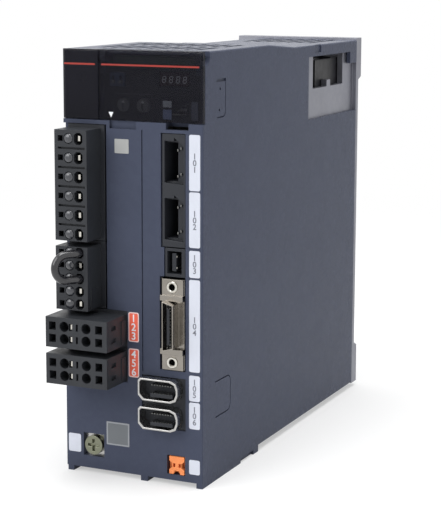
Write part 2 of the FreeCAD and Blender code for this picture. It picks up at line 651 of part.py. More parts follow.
def front_wall():
    """Grey front wall with the openings for everything that shows in it."""
    wall = box(-HALF, HALF, 0, FRONT_WALL, FLOOR_Z, PANEL_TOP_Z)
    corners = [e for e in wall.Edges if abs(e.CenterOfMass.y) < 1e-6 and e.Length > HEIGHT / 2]
    wall = wall.makeFillet(CORNER_ROUND / 2, corners)
    y0, y1 = -1, FRONT_WALL + 1
    earth = EARTH_SIZE / 2 + FIT
    right = COLUMN_X1 + FIT
    windows = [(-HALF - 1, STRIP_X, BAY_STEP_Z - 1, BAY_TOP_Z),
               (-HALF - 1, BAY_RIGHT_X, BAY_BOTTOM_Z, BAY_STEP_Z),
               (COLUMN_X0 + FIT, right, JACK_Z0 - FIT, JACK_Z1 + FIT),
               (SAFETY_X0 - FIT, right, SAFETY_Z0 - FIT, JACK_Z0),
               (COLUMN_X0 - FIT, right, IO_Z0 - FIT, SAFETY_Z0),
               (ENCODER_X0 - 2 * FIT, right, ENCODER_B_Z - FIT, ENCODER_A_Z + ENCODER_HEIGHT + FIT),
               (BATTERY_X0 - FIT, BATTERY_X1 + FIT, BATTERY_Z0 - FIT, BATTERY_Z1 + FIT),
               (EARTH_X - earth, EARTH_X + earth, EARTH_Z - earth, EARTH_Z + earth),
               (CABLE_NOTCH_X, CABLE_NOTCH_X + CABLE_NOTCH_WIDTH,
                PANEL_TOP_Z - CABLE_NOTCH_HEIGHT, PANEL_TOP_Z + 1)]
    scoop_z = PANEL_TOP_Z - SCOOP_HEIGHT
    cuts = [box(x0, x1, y0, y1, z0, z1) for x0, x1, z0, z1 in windows]
    cuts.append(box(SCOOP_X, SCOOP_X + SCOOP_WIDTH, y0, SCOOP_DEPTH, scoop_z, PANEL_TOP_Z + 1))
    cuts.append(box(GROOVE_X, GROOVE_X + GROOVE_WIDTH, y0, GROOVE_DEPTH, GROOVE_BOTTOM_Z, scoop_z))
    return wall.cut(cuts)


def bay_lining():
    """Walls round the recess that takes the terminal headers."""
    def outline(g):
        left = -INNER - (CEILING_LAP if g else 0)
        return [(left, BAY_BOTTOM_Z - g), (BAY_RIGHT_X + g, BAY_BOTTOM_Z - g),
                (BAY_RIGHT_X + g, BAY_STEP_Z + g), (STRIP_X + g, BAY_STEP_Z + g),
                (STRIP_X + g, BAY_TOP_Z + g), (left, BAY_TOP_Z + g)]
    solid = slab_y(outline(BAY_WALL), FRONT_WALL - 0.1, TERMINAL_BOARD_Y)
    return solid.cut(slab_y(outline(0), 0, TERMINAL_BOARD_Y + 1))


def inner_walls():
    """Walls behind the black front pieces, up to the ceiling."""
    left, right = -INNER - CEILING_LAP, INNER + CEILING_LAP
    ceiling = HEIGHT - WALL + CEILING_LAP
    charge = box(left, DIVIDER_X, FRONT_WALL, FRONT_WALL + CHARGE_WALL, PANEL_TOP_Z, ceiling)
    charge = charge.cut(rod_y(LED_X, 0, FRONT_WALL + CHARGE_WALL + 1, LED_Z, LED_RADIUS + LED_FIT))
    divider = box(DIVIDER_X - DIVIDER, DIVIDER_X, FRONT_WALL, OPERATOR_BOARD_Y, PANEL_TOP_Z, ceiling)
    shelf = box(left, right, FRONT_WALL, CONTROL_BACK_Y, PANEL_TOP_Z - SHELF, PANEL_TOP_Z)
    notch = box(CABLE_NOTCH_X, CABLE_NOTCH_X + CABLE_NOTCH_WIDTH, 0, CONTROL_Y - FACE_PROUD,
                PANEL_TOP_Z - SHELF - 1, PANEL_TOP_Z + 1)
    return [charge, divider, shelf.cut(notch)]


def make_housing():
    outer = slab_x(side_profile(0), -HALF, HALF)
    long_edges = [e for e in outer.Edges
                  if abs(abs(e.CenterOfMass.x) - HALF) < 1e-6 and e.CenterOfMass.z > HEIGHT / 2
                  and abs(e.tangentAt(e.FirstParameter).z) < 0.5]
    outer = outer.makeFillet(CORNER_ROUND, long_edges)
    cavity = slab_x(side_profile(WALL), -INNER, INNER)
    notches = [corner_notch(True), corner_notch(False)]
    for limits in notches:
        cavity = cavity.cut(notch_lining(limits))
    shell = outer.cut([cavity] + [box(*limits) for limits in notches])

    side_x = INNER - 0.1
    swing = [box(DIVIDER_X, HALF + 1, 0, COVER_SWING_Y, HEIGHT - WALL - BARREL_SPACE, HEIGHT + 1),
             box(side_x, HALF + 1, 0, COVER_SWING_Y, HINGE_Z, HEIGHT + 1),
             rod_x(side_x, HALF + 1, HINGE_Y, HINGE_Z, BARREL_RADIUS + BARREL_SPACE)]
    shell = shell.cut(swing + all_vents())

    left, middle = -HALF + RAIL_INSET, HALF - MID_RAIL_INSET
    rails = [box(left, left + RAIL_WIDTH, 0, RAIL_LENGTH, 0, FLOOR_Z),
             box(middle - MID_RAIL_WIDTH / 2, middle + MID_RAIL_WIDTH / 2, 0, RAIL_LENGTH, 0, FLOOR_Z),
             box(HALF - RAIL_WIDTH, HALF, 0, RAIL_LENGTH, 0, FLOOR_Z)]
    eyes = hinge_eye(EYE_X, EYE_X + EYE_WIDTH, DIVIDER_X - CEILING_LAP)
    eyes += hinge_eye(INNER - EYE_WIDTH, INNER, INNER + CEILING_LAP)
    shell = joined([shell, front_wall(), bay_lining()] + inner_walls() + rails + board_guides() + eyes)

    bore = PIN_RADIUS + PIN_CLEARANCE
    notch_end = RAIL_NOTCH_Y + RAIL_NOTCH_LENGTH
    cuts = [rod_x(EYE_X - 1, EYE_X + EYE_WIDTH + 1, HINGE_Y, HINGE_Z, bore),
            rod_x(INNER - EYE_WIDTH - 1, HALF + 1, HINGE_Y, HINGE_Z, bore),
            box(INNER - 1, HALF + 1, CUTOUT_Y, CASE_DEPTH - HOOK_LENGTH, CUTOUT_BOTTOM_Z, STRIP_Z),
            box(INNER - 1, HALF + 1, CUTOUT_Y, CASE_DEPTH + 1, CUTOUT_BOTTOM_Z, STRIP_Z - HOOK_DROP),
            box(HALF - CLIP_DEPTH, HALF + 1, CUTOUT_Y + CLIP_START, CUTOUT_Y + CLIP_START + CLIP_WIDTH,
                LOW_TOP_Z - CLIP_HEIGHT, HEIGHT),
            box(HALF - RAIL_NOTCH_DEPTH, HALF + 1, RAIL_NOTCH_Y, notch_end, -1, RAIL_HEIGHT - 0.1)]
    pieces["housing"] = cut(shell, cuts + latch_grooves(1) + latch_grooves(-1))


# ---- heat sink -------------------------------------------------------------------
def mounting_pads():
    """Raised pads behind the upper and lower end of the base plate."""
    rear = CASE_DEPTH + BASE_THICKNESS
    back = rear + PAD_RISE
    ends = ((BASE_BOTTOM_Z, BASE_BOTTOM_Z + PAD_HEIGHT, 1), (BASE_TOP_Z, BASE_TOP_Z - PAD_HEIGHT, -1))
    return [slab_x([(rear - PLATE_ROOT, edge), (back, edge), (back, inner - side * PAD_CHAMFER),
                    (rear, inner), (rear - PLATE_ROOT, inner)], -HALF, HALF)
            for edge, inner, side in ends]


def make_heat_sink():
    back = CASE_DEPTH
    floor = REAR_FLOOR_Z + WALL + SINK_CLEARANCE
    base = box(-HALF, HALF, back, back + BASE_THICKNESS, BASE_BOTTOM_Z, BASE_TOP_Z)
    y0, y1 = SINK_FRONT_Y, back + PLATE_ROOT
    walls = [box(SINK_LEFT_X, SINK_LEFT_X + SINK_WALL, y0, y1, floor, SINK_TOP_Z),
             box(SINK_RIGHT_X - SINK_WALL, SINK_RIGHT_X, y0, y1, floor, SINK_TOP_Z)]
    x0, x1 = SINK_LEFT_X + SINK_WALL - PLATE_ROOT, SINK_RIGHT_X - SINK_WALL + PLATE_ROOT
    plate = box(x0, x1, MODULE_PLATE_Y, MODULE_PLATE_Y + MODULE_PLATE, floor, FAN_Z - PLATE_ROOT)
    ledges = [box(x0, x0 + LEDGE, MODULE_PLATE_Y, y1, FAN_Z - LEDGE, FAN_Z),
              box(x1 - LEDGE, x1, MODULE_PLATE_Y, y1, FAN_Z - LEDGE, FAN_Z)]
    count = int((x1 - x0) / FIN_PITCH)
    first = (x0 + x1 - FIN_PITCH * (count - 1)) / 2
    root_y = MODULE_PLATE_Y + 1
    fins = [box(x - FIN_THICKNESS / 2, x + FIN_THICKNESS / 2, root_y, y1, FIN_BOTTOM_Z, FAN_Z - FIN_TOP_GAP)
            for x in [first + FIN_PITCH * i for i in range(count)]]
    posts = [slab_y(many_sided(x, z, POST_RADIUS, 6), DRIVER_BOARD_Y + BOARD, root_y)
             for x in POST_X for z in POST_Z]
    sink = joined([base] + mounting_pads() + walls + [plate] + ledges + fins + posts)
    window = box(SINK_RIGHT_X - SINK_WALL - 0.1, HALF, WINDOW_Y, WINDOW_Y + WINDOW_LENGTH,
                 WINDOW_BOTTOM_Z, WINDOW_BOTTOM_Z + WINDOW_HEIGHT)
    tab_y = WINDOW_Y + WINDOW_LENGTH / 2 - TAB_OFFSET
    window = window.cut(box(0, HALF, tab_y, tab_y + TAB_WIDTH, 0, WINDOW_BOTTOM_Z + TAB_HEIGHT))
    rear = BODY_DEPTH + 1
    holes = [rod_y(HOLE_X, back - 1, rear, UPPER_HOLE_Z, HOLE_RADIUS),
             rod_y(HOLE_X, back - 1, rear, LOWER_HOLE_Z, HOLE_RADIUS),
             box(HOLE_X - HOLE_RADIUS, HOLE_X + HOLE_RADIUS, back - 1, rear, 0, LOWER_HOLE_Z)]
    pieces["heat_sink"] = cut(sink, [window] + holes)


def make_fan():
    x0, y0 = FAN_X - FAN_SIZE / 2, FAN_Y - FAN_SIZE / 2
    frame = box(x0, x0 + FAN_SIZE, y0, y0 + FAN_SIZE, FAN_Z, FAN_TOP_Z)
    frame = frame.cut(rod_z(FAN_X, FAN_Y, FAN_Z - 1, FAN_TOP_Z + 1, FAN_BORE))
    hub_top = FAN_Z + FAN_HUB_HEIGHT
    reach, half = FAN_BORE + PLATE_ROOT, FAN_SPOKE / 2
    spokes = [box(FAN_X - reach, FAN_X + reach, FAN_Y - half, FAN_Y + half, FAN_Z, FAN_Z + FAN_SPOKE),
              box(FAN_X - half, FAN_X + half, FAN_Y - reach, FAN_Y + reach, FAN_Z, FAN_Z + FAN_SPOKE)]
    frame = joined([frame, rod_z(FAN_X, FAN_Y, FAN_Z, hub_top, FAN_HUB_RADIUS)] + spokes)
    bearing = rod_z(FAN_X, FAN_Y, FAN_Z - 1, hub_top + 1, FAN_SHAFT_RADIUS + FAN_CLEARANCE)
    pieces["fan_frame"] = cut(frame, [bearing])
    parts = [rod_z(FAN_X, FAN_Y, hub_top + BLADE_MARGIN / 2, FAN_TOP_Z - BLADE_MARGIN / 2, FAN_HUB_RADIUS),
             rod_z(FAN_X, FAN_Y, FAN_Z + FAN_GAP, hub_top + 1, FAN_SHAFT_RADIUS)]
    low, high = hub_top + BLADE_MARGIN, FAN_TOP_Z - BLADE_MARGIN
    a, t = BLADE_HALF, BLADE_THICKNESS / 2
    for i in range(FAN_BLADES):
        blade = slab_x([(-a - t, low), (-a + t, low), (a + t, high), (a - t, high)],
                       FAN_HUB_RADIUS - 1, FAN_BORE - BLADE_GAP)
        blade.rotate(vec(0, 0, 0), vec(0, 0, 1), 360.0 * i / FAN_BLADES)
        blade.translate(vec(FAN_X, FAN_Y, 0))
        parts.append(blade)
    pieces["fan_impeller"] = joined(parts)


# ---- black front pieces and controls ---------------------------------------------
def make_cover():
    x0, x1 = COVER_LEFT_X, HALF
    plate = box(x0, x1, 0, COVER_PLATE, COVER_BOTTOM_Z, HINGE_Z)
    head = box(x0, x1, 0, HINGE_Y, HINGE_Z - BARREL_RADIUS, HEIGHT)
    edge = [e for e in head.Edges if e.CenterOfMass.y < 1e-6 and abs(e.CenterOfMass.z - HEIGHT) < 1e-6]
    head = head.makeFillet(CORNER_ROUND, edge)
    cover = joined([plate, head, rod_x(x0, x1, HINGE_Y, HINGE_Z, BARREL_RADIUS)])
    deep = 2 * BARREL_RADIUS
    cuts, pins = [], []
    for a, b in ((EYE_X - 1, EYE_X + EYE_WIDTH + EYE_SIDE_GAP),
                 (INNER - EYE_WIDTH - EYE_SIDE_GAP, INNER + EYE_SIDE_GAP)):
        cuts.append(rod_x(a, b, HINGE_Y, HINGE_Z, EYE_RADIUS + EYE_CLEARANCE))
        cuts.append(box(a, b, HINGE_Y, HINGE_Y + deep, HINGE_Z - deep, HINGE_Z + deep))
        cuts.append(box(a, b, COVER_PLATE, HINGE_Y + 1, HINGE_Z - deep, HINGE_Z))
        start, end = (x0, b + PIN_ROOT) if a < x0 else (a - PIN_ROOT, INNER)
        pins.append(rod_x(start, end, HINGE_Y, HINGE_Z, PIN_RADIUS))
    cuts.append(box(INNER, HALF + 1, COVER_PLATE, HINGE_Y + deep, HINGE_Z - deep, HEIGHT + 1))
    pieces["display_cover"] = joined([cut(cover, cuts)] + pins)
    window = box(-HALF, CHARGE_RIGHT_X, 0, FRONT_WALL, COVER_BOTTOM_Z, HEIGHT)
    edges = [e for e in window.Edges if e.CenterOfMass.y < 1e-6
             and (abs(e.CenterOfMass.z - HEIGHT) < 1e-6 or abs(e.CenterOfMass.x + HALF) < 1e-6)]
    pieces["charge_window"] = window.makeFillet(CORNER_ROUND, edges)


def around(x, z, width, height, y0, y1, gap=0.0):
    """Box round a middle point, with a gap on each side if it is a hole."""
    return box(x - width / 2 - gap, x + width / 2 + gap, y0, y1, z - height / 2 - gap, z + height / 2 + gap)


def make_control_panel():
    y0, deep = CONTROL_Y, OPERATOR_BOARD_Y
    plate = box(DIVIDER_X, INNER, y0, CONTROL_BACK_Y, PANEL_TOP_Z, PANEL_TOP_Z + CONTROL_RISE)
    pocket_y = CONTROL_Y + POCKET_DEPTH
    tray = box(POCKET_X - POCKET_WALL, POCKET_X + POCKET_WIDTH + POCKET_WALL, y0 + FIT,
               pocket_y + POCKET_WALL, PANEL_TOP_Z, POCKET_TOP_Z + POCKET_WALL)
    cuts = [box(POCKET_X, POCKET_X + POCKET_WIDTH, 0, pocket_y, PANEL_TOP_Z - 1, POCKET_TOP_Z),
            around(USB_X, USB_Z, USB_WIDTH, USB_HEIGHT, 0, deep, FIT),
            around(DIP_X, DIP_Z, DIP_WIDTH, DIP_HEIGHT, 0, deep, FIT),
            box(DISPLAY_X - FIT, DISPLAY_X + DISPLAY_WIDTH + FIT, 0, deep,
                DISPLAY_Z - FIT, DISPLAY_Z + DISPLAY_HEIGHT + FIT)]
    cuts += [rod_y(x, 0, deep, DIAL_Z, DIAL_RADIUS + DIAL_WINDOW) for x in DIAL_X]
    pieces["control_panel"] = cut(joined([plate, tray]), cuts)


def make_rotary_switches():
    bodies = []
    for i, x in enumerate(DIAL_X):
        body = around(x, DIAL_Z, SWITCH_SIZE, SWITCH_SIZE, CONTROL_BACK_Y, OPERATOR_BOARD_Y)
        seat_y = CONTROL_BACK_Y + DIAL_DEPTH
        bodies.append(body.cut(rod_y(x, CONTROL_Y, seat_y + DIAL_CLEARANCE, DIAL_Z,
                                     DIAL_RADIUS + DIAL_CLEARANCE)))
        face = CONTROL_Y - DIAL_PROUD
        slot = around(x, DIAL_Z, DIAL_SLOT, DIAL_SLOT_LENGTH, face - 1, face + DIAL_SLOT)
        pieces["rotary_dial_%d" % (i + 1)] = rod_y(x, face, seat_y, DIAL_Z, DIAL_RADIUS).cut(slot)
    pieces["rotary_switches"] = group(bodies)


def make_dip_switch():
    face = FACE_FRONT_Y
    body = around(DIP_X, DIP_Z, DIP_WIDTH, DIP_HEIGHT, face, OPERATOR_BOARD_Y)
    low = DIP_Z - (DIP_TRAVEL + DIP_KNOB) / 2
    for i, x in enumerate((DIP_X - DIP_WIDTH / 4, DIP_X + DIP_WIDTH / 4)):
        body = body.cut(around(x, DIP_Z, DIP_KNOB, DIP_KNOB + DIP_TRAVEL, 0, face + DIP_DEPTH, DIP_CLEARANCE))
        pieces["dip_slider_%d" % (i + 1)] = box(x - DIP_KNOB / 2, x + DIP_KNOB / 2, face - DIP_PROUD,
                                                face + DIP_DEPTH - DIP_CLEARANCE, low, low + DIP_KNOB)
    pieces["dip_switch"] = body


def make_controls():
    make_control_panel()
    board_y = OPERATOR_BOARD_Y
    pieces["operator_board"] = box(-INNER + 2 * GUIDE_FIT, INNER - 2 * GUIDE_FIT, board_y, board_y + BOARD,
                                   PANEL_TOP_Z + 4 * GUIDE_FIT, HEIGHT - WALL - GUIDE_RIB)
    pieces["display_module"] = box(DISPLAY_X, DISPLAY_X + DISPLAY_WIDTH, CONTROL_Y + FIT, board_y,
                                   DISPLAY_Z, DISPLAY_Z + DISPLAY_HEIGHT)
    make_rotary_switches()
    make_dip_switch()

    socket_y = CONTROL_Y + POCKET_DEPTH
    usb = around(USB_X, USB_Z, USB_WIDTH, USB_HEIGHT, socket_y, board_y)
    mouth = around(USB_X, USB_Z, USB_WIDTH, USB_HEIGHT, 0, board_y - 2 * USB_SHEET, -USB_SHEET)
    tongue = around(USB_X, USB_Z, USB_TONGUE_WIDTH, USB_TONGUE, socket_y + 2 * USB_SHEET, board_y - USB_SHEET)
    pieces["usb_socket"] = joined([usb.cut(mouth), tongue])
    led_y = FRONT_WALL + BARREL_SPACE
    leads = [around(LED_X + side * LEAD_PITCH / 2, LED_Z, LEAD_SIZE, LEAD_SIZE,
                    led_y + LED_LENGTH / 2, board_y)
             for side in (-1, 1)]
    pieces["charge_led"] = joined([rod_y(LED_X, led_y, led_y + LED_LENGTH, LED_Z, LED_RADIUS)] + leads)


# ---- terminal plugs and their headers ----------------------------------------------
def header(x0, x1, z0, z1, nose):
    """Header with a cavity round the plug's nose, given as (x0, x1, z0, z1)."""
    g = PLUG_CLEARANCE
    solid = box(x0, x1, HEADER_FRONT_Y, TERMINAL_BOARD_Y, z0, z1)
    return solid.cut(box(nose[0] - g, nose[1] + g, 0, HEADER_FLOOR_Y, nose[2] - g, nose[3] + g))


def plug_block(x0, x1, z0, z1, reach, nose):
    body = box(x0, x1, -reach, HEADER_FRONT_Y, z0, z1)
    tip = box(nose[0], nose[1], 0, HEADER_FRONT_Y + PLUG_INSERT, nose[2], nose[3])
    return joined([body, tip])


def nose_limits(x0, x1, z0, z1):
    inset = HEADER_WALL + PLUG_CLEARANCE
    return (x0 + inset, x1 - inset, z0 + inset, z1 - inset)


def post(x, z):
    """Square pin of a header, through the board behind it."""
    return around(x, z, PIN_SIZE, PIN_SIZE, PIN_TIP_Y, TERMINAL_BOARD_Y + BOARD + PIN_TAIL)


def pin_hole(x, z):
    return around(x, z, PIN_SIZE, PIN_SIZE, PIN_TIP_Y - PIN_GAP, TERMINAL_BOARD_Y, PIN_GAP)


def round_hole(x, z, radius, y0, y1):
    """Small round hole with flat sides."""
    return slab_y(many_sided(x, z, radius), y0, y1)


def octagon_hole(x, z, wide, tall, y0, y1):
    a, b, c = wide / 2, tall / 2, wide * 0.28
    return slab_y([(x - a, z - b + c), (x - a + c, z - b), (x + a - c, z - b), (x + a, z - b + c),
                   (x + a, z + b - c), (x + a - c, z + b), (x - a + c, z + b), (x - a, z + b - c)], y0, y1)


def release_button(x, z, face_y):
    """Round button, its front edge turned down to a shallow dome."""
    front = face_y - BUTTON_PROUD
    button = round_hole(x, z, BUTTON_RADIUS, front, front + BUTTON_LENGTH)
    edges = [e for e in button.Edges if abs(e.CenterOfMass.y - front) < 1e-6]
    return button.makeChamfer(BUTTON_EDGE, edges)


def clamp(z, front):
    """Contact plate of a cell with its foot round the header's pin."""
    x0, x1 = WIRE_X - CLAMP_OFFSET, WIRE_X - CLAMP_OFFSET + CLAMP_PLATE
    low, high = z - CLAMP_HALF, z + CLAMP_HALF
    return joined([box(x0, x1, front, 0, low, high), box(x0, x1 + PIN_SIZE, -1, 0, low, high)])


def push_in_plug(name, z0, z1, heights, hole_height, short_cells, extras):
    """Plug with a column each of probe holes, release buttons and wire holes."""
    face = PLUG_FACE_Y
    nose = nose_limits(PLUG_X0, PLUG_X1, z0, z1)
    block = joined([plug_block(PLUG_X0, PLUG_X1, z0, z1, PLUG_REACH, nose)] + extras)
    bore = BUTTON_RADIUS + BUTTON_CLEARANCE
    bore_end = face - BUTTON_PROUD + BUTTON_LENGTH + BUTTON_TRAVEL + BUTTON_END_GAP
    cuts, clamps = [], []
    for i, z in enumerate(heights):
        cuts.append(round_hole(BUTTON_X, z, bore, face - 1, bore_end))
        cuts.append(octagon_hole(WIRE_X, z, WIRE_HOLE_WIDTH, hole_height, face - 1, 0))
        cuts.append(around(PROBE_X, z, PROBE_SIZE, PROBE_SIZE, face - 1, face + PROBE_DEPTH))
        cuts.append(pin_hole(WIRE_X, z))
        clamps.append(clamp(z, face + (WIRE_INSERT if i in short_cells else CLAMP_FRONT)))
        pieces["%s_button_%d" % (name, i + 1)] = release_button(BUTTON_X, z, face)
    pieces[name + "_plug"] = cut(block, cuts)
    pieces[name + "_clamps"] = group(clamps)
    return nose


def jumper(top, bottom):
    """Insulated wire from one cell to another, bent over to the left."""
    lean = math.radians(JUMPER_SWING)
    out = vec(-math.sin(lean), -math.cos(lean), 0)
    radius = (top - bottom) / 2
    start_y, bend_y = PLUG_FACE_Y + WIRE_INSERT, PLUG_FACE_Y + CEILING_LAP
    bend = vec(-JUMPER_BEND * (1 - math.cos(lean)), -JUMPER_BEND * math.sin(lean), 0)
    half = vec(-JUMPER_BEND * (1 - math.cos(lean / 2)), -JUMPER_BEND * math.sin(lean / 2), 0)
    apex_y = -JUMPER_REACH + JUMPER_RADIUS
    run = (bend_y + bend.y - apex_y) / math.cos(lean) - radius
    edges = []
    for z, flip in ((top, False), (bottom, True)):
        a = vec(WIRE_X, start_y, z)
        b = vec(WIRE_X, bend_y, z)
        c = b + bend
        d = c + out * run
        leg = [Part.makeLine(a, b), Part.Arc(b, b + half, c).toShape(), Part.makeLine(c, d)]
        if flip:
            leg.reverse()
            apex = d + out * radius + vec(0, 0, radius)
            edges.append(Part.Arc(last, apex, d).toShape())
        edges += leg
        last = d
    path = Part.Wire(Part.__sortEdges__(edges))
    ring = wire_y(many_sided(WIRE_X, top, JUMPER_RADIUS), start_y)
    return path.makePipeShell([ring], True, False)


def motor_plug(index, top):
    x0, x1 = MOTOR_X0, MOTOR_X1
    z0, face = top - MOTOR_HEIGHT, MOTOR_FACE_Y
    nose = nose_limits(x0 + MOTOR_NOSE_INSET, x1, z0, top)
    rib = box(x1 - PLATE_ROOT, x1 + MOTOR_RIB, -4, -1, z0 + 2 * RIB_HALF, top - MOTOR_GAP)
    block = joined([plug_block(x0, x1, z0, top, MOTOR_REACH, nose), rib])
    cuts, clamps = [], []
    for z in motor_rows(top):
        for x in [x0 + column for column in MOTOR_WIRE]:
            end = face + MOTOR_WIRE_DEPTH
            floor = z - MOTOR_WIRE_HEIGHT / 2 + PLATE_ROOT
            cuts.append(around(x, z, MOTOR_WIRE_WIDTH, MOTOR_WIRE_HEIGHT, face - 1, end))
            clamps.append(box(x - 1, x + 1, end - 5, end, floor, floor + PLATE_ROOT))
        for x in [x0 + column for column in MOTOR_RELEASE]:
            cuts.append(round_hole(x, z, MOTOR_RELEASE_RADIUS, face - 1, face + MOTOR_RELEASE_DEPTH))
        width, height, end = MOTOR_CONTACT_WIDTH, MOTOR_CONTACT_HEIGHT, face + MOTOR_CONTACT_DEPTH
        cuts.append(around(x0 + MOTOR_CONTACT, z, width, height, face - 1, end))
        cuts.append(around(x0 + MOTOR_SLOT, z, MOTOR_SLOT_WIDTH, height, face - 1, end))
        clamps.append(around(x0 + MOTOR_CONTACT, z, width, height, face + 2 * RIB_HALF, end, -CEILING_LAP))
        for x in [x0 + column for column in MOTOR_PIN]:
            cuts.append(pin_hole(x, z))
        size, reach = MOTOR_LATCH_SIZE / 2, MOTOR_LATCH_LENGTH / 2
        cuts.append(box(x1 - 2 * RIB_HALF, x1 + 1, MOTOR_LATCH_Y - reach, MOTOR_LATCH_Y + reach,
                        z - size, z + size))
    pieces["motor_plug_%d" % index] = cut(block, cuts)
    pieces["motor_clamps_%d" % index] = group(clamps)
    return nose


def motor_rows(top):
    low = top - MOTOR_HEIGHT + MOTOR_FIRST_ROW
    return (low, low + MOTOR_ROW_PITCH)


def make_terminals():
    supply_z = cells(SUPPLY_Z1, SUPPLY_TOP_CELL, SUPPLY_PITCH, SUPPLY_CELLS)
    link_z = cells(LINK_Z1, LINK_TOP_CELL, LINK_PITCH, LINK_CELLS)
    face = PLUG_FACE_Y
    ribs = [box(PROBE_X - PROBE_SIZE / 2, PLUG_X1 - 2 * RIB_HALF, face - 1, face + RIB_DEPTH,
                z - SUPPLY_PITCH / 2 - RIB_HALF, z - SUPPLY_PITCH / 2 + RIB_HALF) for z in supply_z[:-1]]
    supply_nose = push_in_plug("supply", SUPPLY_Z0, SUPPLY_Z1, supply_z, SUPPLY_HOLE_HEIGHT, (), [])
    pieces["supply_plug"] = cut(pieces["supply_plug"], ribs)
    emboss = box(PLUG_X1 - PLATE_ROOT, PLUG_X1 + EMBOSS_RISE, -8, -1.5, LINK_Z0 + 2 * RIB_HALF,
                 LINK_Z0 + 2 * RIB_HALF + EMBOSS_HEIGHT)
    link_nose = push_in_plug("link", LINK_Z0, LINK_Z1, link_z, LINK_HOLE_HEIGHT, (0, 2), [emboss])
    pieces["link_jumper"] = jumper(link_z[0], link_z[2])
    noses = [motor_plug(i + 1, top) for i, top in enumerate(MOTOR_TOP_Z)]

    g = HEADER_FIT
    x0, split = -INNER + g, (SUPPLY_Z0 + LINK_Z1) / 2
    x1, wide_x1 = STRIP_X - HEADER_SIDE, BAY_RIGHT_X - 2 * g
    pins = [(WIRE_X, z) for z in supply_z + link_z]
    for top in MOTOR_TOP_Z:
        pins += [(MOTOR_X0 + column, z) for column in MOTOR_PIN for z in motor_rows(top)]
    posts = [post(x, z) for x, z in pins]
    middle = (MOTOR_TOP_Z[0] - MOTOR_HEIGHT + MOTOR_TOP_Z[1]) / 2
    headers = [header(x0, x1, split + g / 2, BAY_TOP_Z - 2 * g, supply_nose),
               header(x0, x1, BAY_STEP_Z + g, split - g / 2, link_nose),
               header(x0, wide_x1, middle + g / 2, BAY_STEP_Z - g, noses[0]),
               header(x0, wide_x1, BAY_BOTTOM_Z + 2 * g, middle - g / 2, noses[1])]
    headers = [h.cut(posts) for h in headers]
    pieces["supply_header"] = headers[0]
    pieces["link_header"] = headers[1]
    pieces["motor_headers"] = group(headers[2:])
    pieces["header_pins"] = group(posts)
    left, edge = -INNER + 2 * g, BAY_WALL - 2 * g
    board = slab_y([(left, BAY_BOTTOM_Z - edge), (BAY_RIGHT_X + edge, BAY_BOTTOM_Z - edge),
                    (BAY_RIGHT_X + edge, BAY_STEP_Z + edge), (STRIP_X + edge, BAY_STEP_Z + edge),
                    (STRIP_X + edge, BAY_TOP_Z + edge), (left, BAY_TOP_Z + edge)],
                   TERMINAL_BOARD_Y, TERMINAL_BOARD_Y + BOARD)
    pieces["terminal_board"] = board.cut(posts)


# ---- connectors of the right column ---------------------------------------------------
def column_body(x0, y0, y1, z0, z1):
    """Connector body that widens behind the front wall to sit on the control board."""
    foot = box(COLUMN_X1 - 1, CONTROL_BOARD_X, FRONT_WALL, y1, z0, z1)
    return joined([box(x0, COLUMN_X1, y0, y1, z0, z1), foot])


def make_jacks():
    """Double jack with stepped mouths, and the small safety socket under it."""
    x0, x1, y0 = COLUMN_X0 + 3 * FIT, COLUMN_X1, PLATE_FRONT
    body = column_body(x0, y0, y0 + JACK_DEPTH, JACK_Z0, JACK_Z1)
    step_x, mouth_y = x0 + 5.0, y0 + 2.3
    cuts, contacts = [], []
    for top in (JACK_Z1, JACK_Z1 - JACK_PITCH):
        mouth = [(x0 + 1.0, top - 18.6), (x1 - 0.8, top - 19.2), (x1 - 0.8, top - 4.4),
                 (step_x, top - 1.5), (step_x, top - 2.7), (x0 + 1.0, top - 2.7)]
        cuts.append(slab_y(mouth, -1, mouth_y))
        cuts.append(box(x0 + 1.0, step_x + 0.6, mouth_y - 1, JACK_DEPTH - 3, top - 18.2, top - 3.4))
        for x, rise in ((5.9, 6.3), (7.2, 5.6), (5.9, 16.2), (7.2, 15.4)):
            contacts.append(around(x0 + x, top - rise, 0.6, 0.9, mouth_y - 0.9, mouth_y))
    pieces["network_jacks"] = cut(body, cuts)
    pieces["jack_contacts"] = group(contacts)
    safety = column_body(SAFETY_X0, y0, SAFETY_DEPTH, SAFETY_Z0, SAFETY_Z1)
    mouth = box(SAFETY_X0 + 1, COLUMN_X1 - 1.6, 0, SAFETY_DEPTH - 4, SAFETY_Z0 + 1.2, SAFETY_Z1 - 1.2)
    tongue = box(SAFETY_X0 + 2.6, SAFETY_X0 + 4.4, y0 + 0.9, SAFETY_DEPTH - 3, SAFETY_Z0 + 2, SAFETY_Z1 - 2)
    pieces["safety_socket"] = joined([safety.cut(mouth), tongue])


def d_outline(x0, x1, z0, z1, inset):
    """Long connector outline, its right side shorter than its left."""
    slope = 1.2
    return [(x0 + inset, z0 + inset * 0.8), (x1 - inset, z0 + slope + inset * 0.4),
            (x1 - inset, z1 - slope - inset * 0.4), (x0 + inset, z1 - inset * 0.8)]


